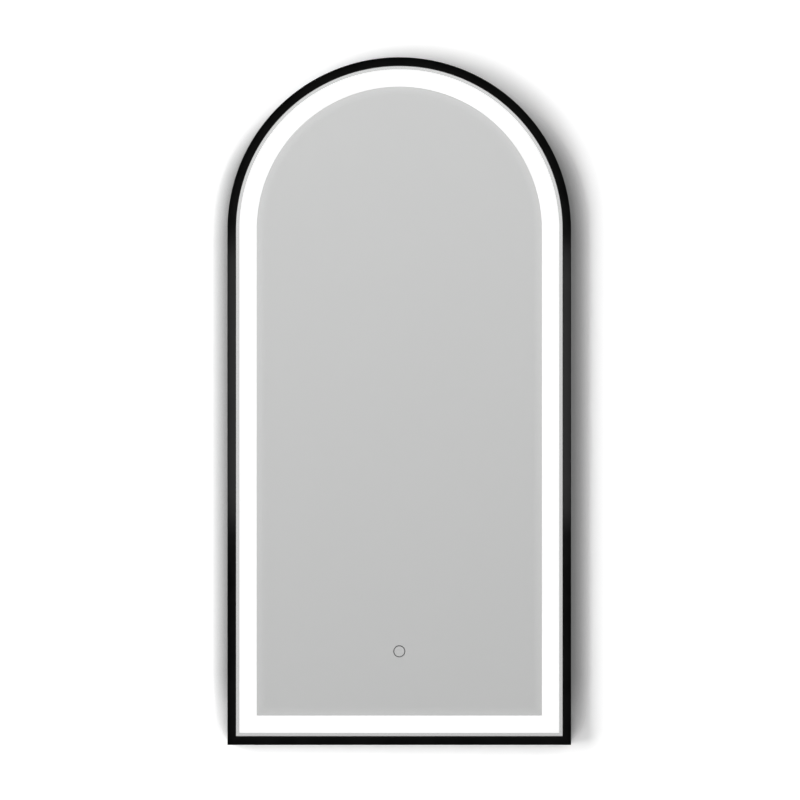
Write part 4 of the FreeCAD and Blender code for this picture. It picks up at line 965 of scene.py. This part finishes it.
@dataclass
class Fixings:
    """Screws with a cross recess and rivets with a drawn stem, at the places of the CAD model.

    The cross's sizes are shares: of the head's radius for the rings, the arms and the reach, of
    an arm's half angle for its edges, and of the dome for the sink and the crown's fall. The hub's
    rings are sunk all round, and the tip is a share of the shank's radius.
    """

    panel_screw: Screw = Screw(3.8, 2.2, 9.0, 1.95, 6.5)
    panel_line: float = 10.4
    panel_counts: tuple[int, int, int] = (7, 6, 4)
    cover_screw: Screw = Screw(2.75, 1.8, 8.0, 1.45, 7.2)
    cover_reach: Pair = (50.6, 23.6)
    cover_up: float = -545.0
    rings: tuple[float, ...] = (0.001, 0.14, 0.24, 0.37, 0.5, 0.56, 0.7, 0.84, 0.95, 1.0)
    hub_rings: int = 2
    arm: float = 0.124
    arm_edges: Pair = (0.86, 1.08)
    arm_reach: float = 0.53
    widest_arm: float = math.radians(40)
    sink: float = 0.62
    sink_fade: float = 0.7
    crown_fall: float = 0.75
    tip: float = 0.2
    channel_rivet: Pair = (9.0, 11.2)
    rivet_line: float = 19.0
    rivet_counts: tuple[int, int, int] = (5, 4, 2)
    hanger_rivet: Pair = (7.5, 10.2)
    hanger_across: Pair = (113.0, 137.0)
    hanger_up: float = 34.5
    rivet_head: tuple[Pair, ...] = ((0, -0.45), (0.75, -0.45), (0.85, -0.9), (1.1, -0.98),
                                    (1.9, -0.86), (2.6, -0.6), (3.1, -0.2), (3.2, 0), (1.6, 0))
    rivet_tail: tuple[Pair, ...] = ((1.6, 0), (2.5, 0), (2.6, 0.3), (2.2, 0.8), (1.3, 1.0),
                                    (0, 1.0))
    rivet_turns: int = 32

    def places_round(self, inset: float, counts: tuple[int, int, int]) -> Array:
        """Places at one inset: over the arch, down both legs and along the foot.

        A leg of length L - i holds n steps and a half one, and the foot n whole steps that start
        with a half one at each end.

        Args:
            inset: Distance in from the outline, in millimetres.
            counts: How many lie on the arch, on a leg and on the foot.

        Returns:
            Places by 3.
        """
        reach, drop = LINE.half_width - inset * MM, LINE.leg - inset * MM
        arch, leg, foot = counts
        angle = np.linspace(0, np.pi, arch)
        down = -drop / (leg + 0.5) * np.arange(1, leg + 1)
        along = (np.arange(foot) + 0.5) * (2 * reach / foot) - reach
        spots = [np.stack((reach * np.cos(angle), reach * np.sin(angle)), 1),
                 np.stack((np.full(leg, reach), down), 1),
                 np.stack((np.full(leg, -reach), down), 1),
                 np.stack((along, np.full(foot, -drop)), 1)]
        flat = np.concatenate(spots)
        return np.stack((flat[:, 0], np.zeros(len(flat)), flat[:, 1]), 1)

    def screw(self, made: Screw) -> Skin:
        """A domed screw with a cross recess, its head towards the wall.

        On ring r of the head, a share of the head's radius, each quarter turn has points at both
        edges of the cross's arms, so the arms have steep walls: their half angle is
        asin(arm / r). The crown stands dome (1 - fall r^3) over the seat, less
        dome sink (1 - fade r) inside the arms.

        Args:
            made: The screw's sizes.

        Returns:
            One screw at X = Z = 0.
        """
        ring = np.array(self.rings)[:, None]
        half = np.arcsin(np.clip(self.arm / ring, 0, math.sin(self.widest_arm)))
        floor_edge, wall_top = self.arm_edges
        quarter = np.pi / 2
        step = np.array([[0.0, floor_edge, wall_top]])
        near = half * step
        between = half * wall_top + (quarter - 2 * wall_top * half) * np.array([[0.25, 0.5, 0.75]])
        far = quarter - half * step[:, :0:-1]
        local = np.concatenate((near, between, far), 1)
        angle = (local[:, None] + quarter * np.arange(4)[None, :, None]).reshape(len(ring), -1)
        in_arm = np.tile([1.0, 1.0, 0.0, 0.0, 0.0, 0.0, 0.0, 1.0], (len(ring), 4))
        in_arm *= ring < self.arm_reach
        in_arm[:self.hub_rings] = 1.0
        sunk = in_arm * made.dome * self.sink * (1 - self.sink_fade * ring)
        depth = made.seat - made.dome * (1 - self.crown_fall * ring ** 3) + sunk
        end = made.seat + made.length
        lower = np.array([(made.head, made.seat), (made.shank, made.seat),
                          (made.shank, end - made.shank), (made.shank * self.tip, end)])
        columns = angle.shape[1]
        spread = np.repeat(np.concatenate((ring * made.head, lower[:, :1])), columns, 1)
        depth = np.concatenate((depth, np.repeat(lower[:, 1:], columns, 1)))
        angle = np.concatenate((angle, np.repeat(angle[-1:], len(lower), 0)))
        points = np.stack((spread * np.cos(angle), -depth, spread * np.sin(angle)), -1) * MM
        return Skin.grid(points, wrap_columns=True, cap=True)

    def rivet(self, grip: Pair) -> Skin:
        """A drawn rivet: a low dome with its stem's end sunk in it, and the swelled tail.

        Args:
            grip: The depths, in millimetres, of the two faces that it holds together.

        Returns:
            One rivet at X = Z = 0.
        """
        low, high = grip
        head = [(radius, low + off) for radius, off in self.rivet_head]
        tail = [(radius, high + off) for radius, off in self.rivet_tail]
        return spun(head + tail, self.rivet_turns)

    def build(self) -> None:
        """Makes the screws and rivets of the rear, and dresses the small fixings inside."""
        cover = np.array([(x * self.cover_reach[0], 0, self.cover_up + z * self.cover_reach[1])
                          for x in (-1, 1) for z in (-1, 1)]) * MM
        hanger = np.array([(side * x, 0, self.hanger_up)
                           for side in (-1, 1) for x in self.hanger_across]) * MM
        zinc, drawn = Shade.ZINC_PLATE.value, Shade.RIVET.value
        for name, node, skin, places, finish, slot in (
                ("panel_screw_set", "back_panel_screws", self.screw(self.panel_screw),
                 self.places_round(self.panel_line, self.panel_counts), zinc, "zinc_plate"),
                ("cover_screw_set", "wiring_cover_screws", self.screw(self.cover_screw),
                 cover, zinc, "zinc_plate"),
                ("channel_rivet_set", "channel_rivets", self.rivet(self.channel_rivet),
                 self.places_round(self.rivet_line, self.rivet_counts), drawn, "rivet_aluminium"),
                ("hanger_rivet_set", "hanger_rivets", self.rivet(self.hanger_rivet), hanger, drawn,
                 "rivet_aluminium")):
            skin.copied(places).piece(name, finish, Body.MIRROR, (node,), slot)
        dress(Shade.ZINC_PLATE, "corner_key_screws", "driver_lid_screws", "driver_screws")


@dataclass
class RearSide:
    """The rear panel with its wiring cover, cable inlet, wall bumpers and hangers.

    The profiles are pairs of radius and depth in millimetres.
    """

    bumper_across: float = 190.0
    bumper_up: float = -700.0
    bumper_profile: tuple[Pair, ...] = (
        (0, 0.7), (2.2, 0.65), (3.6, 0.3), (4.6, 0.05), (5.2, 0.02), (5.7, 0.35), (5.98, 1.0),
        (5.98, 2.4), (5.8, 2.6), (5.8, 2.9), (5.98, 3.1), (5.98, 8.6), (5.7, 9.0), (0, 9.0))
    bumper_turns: int = 48
    inlet: Pair = (28.0, -552.0)
    inlet_corners: tuple[Pair, ...] = ((3.5, 5.5), (3.5, 11.0), (8.5, 11.0), (8.5, 9.0),
                                       (6.0, 9.0), (6.0, 8.0), (8.5, 8.0), (8.5, 5.5))
    inlet_rounds: tuple[float, ...] = (0.8, 0.5, 0.7, 0.4, 0.2, 0.2, 0.4, 1.0)
    inlet_steps: int = 6
    inlet_turns: int = 56

    def build(self) -> None:
        """Makes the rubber parts and dresses the sheet metal."""
        places = np.array([(side * self.bumper_across, 0, self.bumper_up) for side in (-1, 1)]) * MM
        spun(list(self.bumper_profile), self.bumper_turns).copied(places).piece(
            "bumper_pair", Shade.RUBBER.value, Body.MIRROR, ("wall_bumpers",), "black_rubber")
        section = rounded(list(self.inlet_corners), list(self.inlet_rounds), self.inlet_steps)
        ring = spun((section / MM).tolist(), self.inlet_turns, closed=True)
        ring.copied(np.array([(self.inlet[0], 0, self.inlet[1])]) * MM).piece(
            "inlet_grommet", Shade.RUBBER.value, Body.MIRROR, ("cable_grommet",), "black_rubber")
        dress(Shade.ZINC_SHEET, "back_panel")
        dress(Shade.ZINC_PRESSING, "hanger_left", "hanger_right", "wiring_cover")


@dataclass
class Electrics:
    """The wiring box, driver, touch switch, earth and leads, each with its own material."""

    finishes: dict[Shade, tuple[str, ...]] = field(default_factory=lambda: {
        Shade.GREY_PLASTIC: ("wiring_box",),
        Shade.WHITE_PLASTIC: ("terminal_block", "driver_case", "driver_lid", "cable_clips"),
        Shade.BLACK_PLASTIC: ("touch_housing",),
        Shade.BRASS: ("terminal_screws", "earth_stud", "earth_nut"),
        Shade.TINNED: ("earth_lug",),
        Shade.BOARD: ("driver_board", "touch_board"),
        Shade.CORE: ("driver_transformer",),
        Shade.SLEEVE: ("driver_capacitors",),
        Shade.GREY_FILM: ("touch_electrode",),
        Shade.FOAM: ("touch_adhesive",),
        Shade.GREY_LEAD: ("mains_lead", "demister_lead"),
        Shade.WHITE_LEAD: ("sensor_lead", "light_lead"),
        Shade.EARTH_LEAD: ("earth_lead",),
    })

    def build(self) -> None:
        """Dresses every electrical piece."""
        for shade, nodes in self.finishes.items():
            dress(shade, *nodes)


@dataclass
class WallRail:
    """The rail that is screwed to the wall, and that the hangers hook over."""

    def build(self) -> None:
        """Dresses the rail."""
        dress(Shade.ZINC_PRESSING, "wall_rail")


# ---- Studio ----


@dataclass(frozen=True)
class Lamp:
    """A soft box that lights the object but isn't seen, nor mirrored. Its power is in watts."""

    name: str
    place: Place
    size: Pair
    power: float
    aim: Place = (0.0, 0.0, -0.25)

    def hang(self) -> bpy.types.Object:
        """Makes the lamp and turns it to what it points at.

        Returns:
            The lamp.
        """
        light = bpy.data.lights.new(self.name, "AREA")
        light.shape, (light.size, light.size_y), light.energy = "RECTANGLE", self.size, self.power
        thing = bpy.data.objects.new(self.name, light)
        bpy.context.scene.collection.objects.link(thing)
        thing.location = self.place
        way = [end - start for start, end in zip(self.place, self.aim)]
        thing.rotation_euler = Vector(way).to_track_quat("-Z", "Y").to_euler()
        thing.visible_camera = thing.visible_glossy = thing.visible_transmission = False
        return thing


@dataclass
class Studio:
    """A white wall and floor, soft light from the left, and the camera of the photograph.

    A lean is how far the half ball over which a stage point looks for what hides the room is
    tilted: at the left and right edges of the outline, over the arch and under the foot.
    """

    pixels: float = 800.0
    pixel_size: float = 0.0014533
    middle_pixel: Pair = (399.3, 229.05)
    lens: float = 250.0
    sensor: float = 36.0
    far_clip: float = 60.0
    face: float = 0.040
    wall_half: float = 1.6
    floor_half: float = 6.0
    wall_back: float = 0.0006
    floor_up: float = -1.25
    ambient: float = 0.3
    lean: Pair = (0.35, 0.85)
    lean_up: Pair = (0.08, 0.8)
    lean_down: Pair = (-0.64, 1.3)
    shade_reach: float = 0.045
    shade_range: tuple[float, float, float, float] = (0.45, 0.765, 0.26, 0.97)
    shade_samples: int = 32
    wall_lift: float = 0.2
    floor_lift: float = 0.8
    mirrored_low: float = 0.5
    mirror_tone: float = 0.662
    dark_front: float = 0.02
    tone_up: float = 1.03
    tone_across: float = -0.345
    tone_limits: Pair = (0.5, 0.78)
    least_front: float = 0.1
    room_rise: Pair = (-0.5, 0.6)
    grey_front: Pair = (0.5, 0.93)
    paint_front: Pair = (0.1, 0.5)
    lamps: tuple[Lamp, ...] = (Lamp("key_box", (-2.0, -2.1, -0.4), (1.5, 2.2), 80.0),
                               Lamp("fill_box", (1.6, -2.2, -0.5), (1.4, 2.2), 20.0),
                               Lamp("rear_box", (1.7, 1.5, 1.9), (1.0, 1.0), 95.0))
    card: Lamp = Lamp("frame_card", (0.0, -0.15, -0.225), (0.56, 0.40), 0.52, (0.0, 0.0, -0.225))

    def camera(self) -> None:
        """Stands a long lens straight in front, its frame as wide as the photograph's."""
        lens = bpy.data.cameras.new("camera")
        lens.lens, lens.sensor_width = self.lens, self.sensor
        lens.clip_end = self.far_clip
        thing = bpy.data.objects.new("camera", lens)
        bpy.context.scene.collection.objects.link(thing)
        away = self.pixels * self.pixel_size * self.lens / self.sensor
        half = self.pixels / 2
        thing.location = ((half - self.middle_pixel[0]) * self.pixel_size, -self.face - away,
                          (self.middle_pixel[1] - half) * self.pixel_size)
        thing.rotation_euler = (math.radians(90), 0, 0)
        bpy.context.scene.camera = thing

    def lights(self) -> None:
        """Hangs the key at the left, a weaker box at the right and one behind the wall."""
        for lamp in self.lamps:
            lamp.hang()

    def sheen(self) -> None:
        """Hangs a card close in front of the legs that only the frame mirrors."""
        card = self.card.hang()
        card.visible_glossy = True
        group = bpy.data.collections.new("mirrors_the_card")
        for name in ("frame_arch_extrusion", "frame_foot_extrusion"):
            group.objects.link(bpy.data.objects[name])
        card.light_linking.receiver_collection = group

    def openness(self, graph: Graph) -> bpy.types.NodeSocket:
        """The share of the room that a stage point sees, carried to the wall's tones.

        The share is counted over a half ball about (x, -1, z). From the outline's left edge to
        its right, x runs from the left lean to minus the right one. Over the arch z grows to the
        upper lean, and under the foot it falls to minus the lower one.

        Args:
            graph: The stage material's tree.

        Returns:
            The tone, from dark to white.
        """
        across, _, up = graph.axes()
        left, right = self.lean
        lean = graph.span(across, -LINE.half_width, LINE.half_width, left, -right)
        over = graph.span(up, self.lean_up[0], LINE.half_width, 0.0, self.lean_up[1])
        under = graph.span(up, -LINE.leg, self.lean_down[0], -self.lean_down[1], 0.0)
        toward = graph.node("ShaderNodeCombineXYZ", X=lean, Y=-1.0, Z=graph.sum("ADD", over, under))
        # Painted shade: where the leaning half ball is hidden by the object, the sheet's colour and
        # glow are darkened.
        hidden = graph.node("ShaderNodeAmbientOcclusion", {"samples": self.shade_samples},
                            Distance=self.shade_reach, Normal=toward.outputs[0])
        return graph.span(hidden.outputs["AO"], *self.shade_range)

    def plane(self, name: str, corners: list[Place], lift: float) -> bpy.types.Object:
        """A stage sheet that keeps the object's shadow and is white everywhere else.

        It shows from its front side alone and takes no part in the object's light. Close to the
        object its colour and its own light fall with the share of the room that is hidden, a
        painted shade on top of the lamps' shadow.

        Args:
            name: The sheet's name.
            corners: Its corners, turned so that its front faces the room.
            lift: Its own light, so that it is white where nothing hides the room.

        Returns:
            The sheet.
        """
        mesh = bpy.data.meshes.new(name)
        mesh.from_pydata(corners, [], [(0, 1, 2, 3)])
        thing = bpy.data.objects.new(name, mesh)
        bpy.context.scene.collection.objects.link(thing)
        material = bpy.data.materials.new(name)
        graph = Graph.surface(material)
        tone = self.openness(graph)
        graph.set(Base_Color=graph.blend(tone, (0.0, 0.0, 0.0), (1.0, 1.0, 1.0)), Roughness=1.0,
                  Specular_IOR_Level=0.0)
        glow = graph.node("ShaderNodeEmission", Strength=graph.sum("MULTIPLY", tone, lift))
        both = graph.node("ShaderNodeAddShader")
        graph.fill(both.inputs[0], graph.shader.outputs[0])
        graph.fill(both.inputs[1], glow.outputs[0])
        clear = graph.node("ShaderNodeBsdfTransparent")
        choice = graph.node("ShaderNodeMixShader")
        graph.fill(choice.inputs[0], graph.node("ShaderNodeNewGeometry").outputs["Backfacing"])
        graph.fill(choice.inputs[1], both.outputs[0])
        graph.fill(choice.inputs[2], clear.outputs[0])
        graph.fill(graph.output.inputs[0], choice.outputs[0])
        mesh.materials.append(material)
        thing.visible_diffuse = thing.visible_glossy = False
        thing.visible_transmission = thing.visible_shadow = False
        return thing

    def stage(self) -> None:
        """Sets the wall just behind the rail and a pale floor well below."""
        side, back, low = self.wall_half, self.wall_back, self.floor_up
        self.plane("white_wall", [(-side, back, low), (side, back, low), (side, back, side),
                                  (-side, back, side)], self.wall_lift)
        far = self.floor_half
        self.plane("pale_floor", [(-far, -far, low), (far, -far, low), (far, far, low),
                                  (-far, far, low)], self.floor_lift)

    def world(self) -> None:
        """A white room, dimmer below, with a grey front for the mirror and a dark one for paint.

        A ray that the mirror sends out through the glass along (x, y, z) sees
        grey = tone + up z / -y + across x / -y, held between limits. A ray that glances off an
        outer surface sees the dark front, which is wider. Both see the room where they turn
        away from the front, and lamps aside, the object is lit by an even ambient light.
        """
        world = bpy.data.worlds.new("room")
        bpy.context.scene.world = world
        graph = Graph(world)
        across, into, up = graph.axes()
        front = graph.sum("MAXIMUM", graph.sum("MULTIPLY", into, -1.0), self.least_front)
        rise = graph.sum("MULTIPLY_ADD", graph.sum("DIVIDE", up, front), self.tone_up,
                         self.mirror_tone)
        tone = graph.sum("MULTIPLY_ADD", graph.sum("DIVIDE", across, front), self.tone_across, rise)
        darkest, palest = self.tone_limits
        held = graph.sum("MINIMUM", graph.sum("MAXIMUM", tone, darkest), palest)
        room = graph.span(up, *self.room_rise, self.mirrored_low, 1.0)
        aside = graph.span(front, *self.grey_front, 1.0, 0.0)
        through = graph.blend(aside, held, room)
        aside = graph.span(front, *self.paint_front, 1.0, 0.0)
        glanced = graph.blend(aside, (self.dark_front,) * 3, room)
        rays = graph.node("ShaderNodeLightPath").outputs
        mirrored = graph.blend(rays["Is Transmission Ray"], glanced, through)
        either = graph.sum("MAXIMUM", rays["Is Glossy Ray"], rays["Is Transmission Ray"])
        lit = graph.blend(either, (self.ambient,) * 3, mirrored)
        seen = graph.blend(rays["Is Camera Ray"], lit, (1.0, 1.0, 1.0))
        sky = graph.node("ShaderNodeBackground", Color=seen)
        graph.node("ShaderNodeOutputWorld", Surface=sky.outputs[0])

    def build(self) -> None:
        """Sets camera, wall, floor, lamps and room."""
        self.camera()
        self.stage()
        self.lights()
        self.sheen()
        self.world()
        bpy.context.scene.view_settings.view_transform = "Standard"


def main() -> None:
    """Builds each sub-assembly in order, then the studio round them."""
    logging.basicConfig(level=logging.INFO, format="%(message)s")
    for part in (BlackFrame(), MirrorPane(), LightBand(), Fixings(), RearSide(), Electrics(),
                 WallRail(), Studio()):
        LOG.info("-- %s", type(part).__name__)
        part.build()


if __name__ == "__main__":
    main()
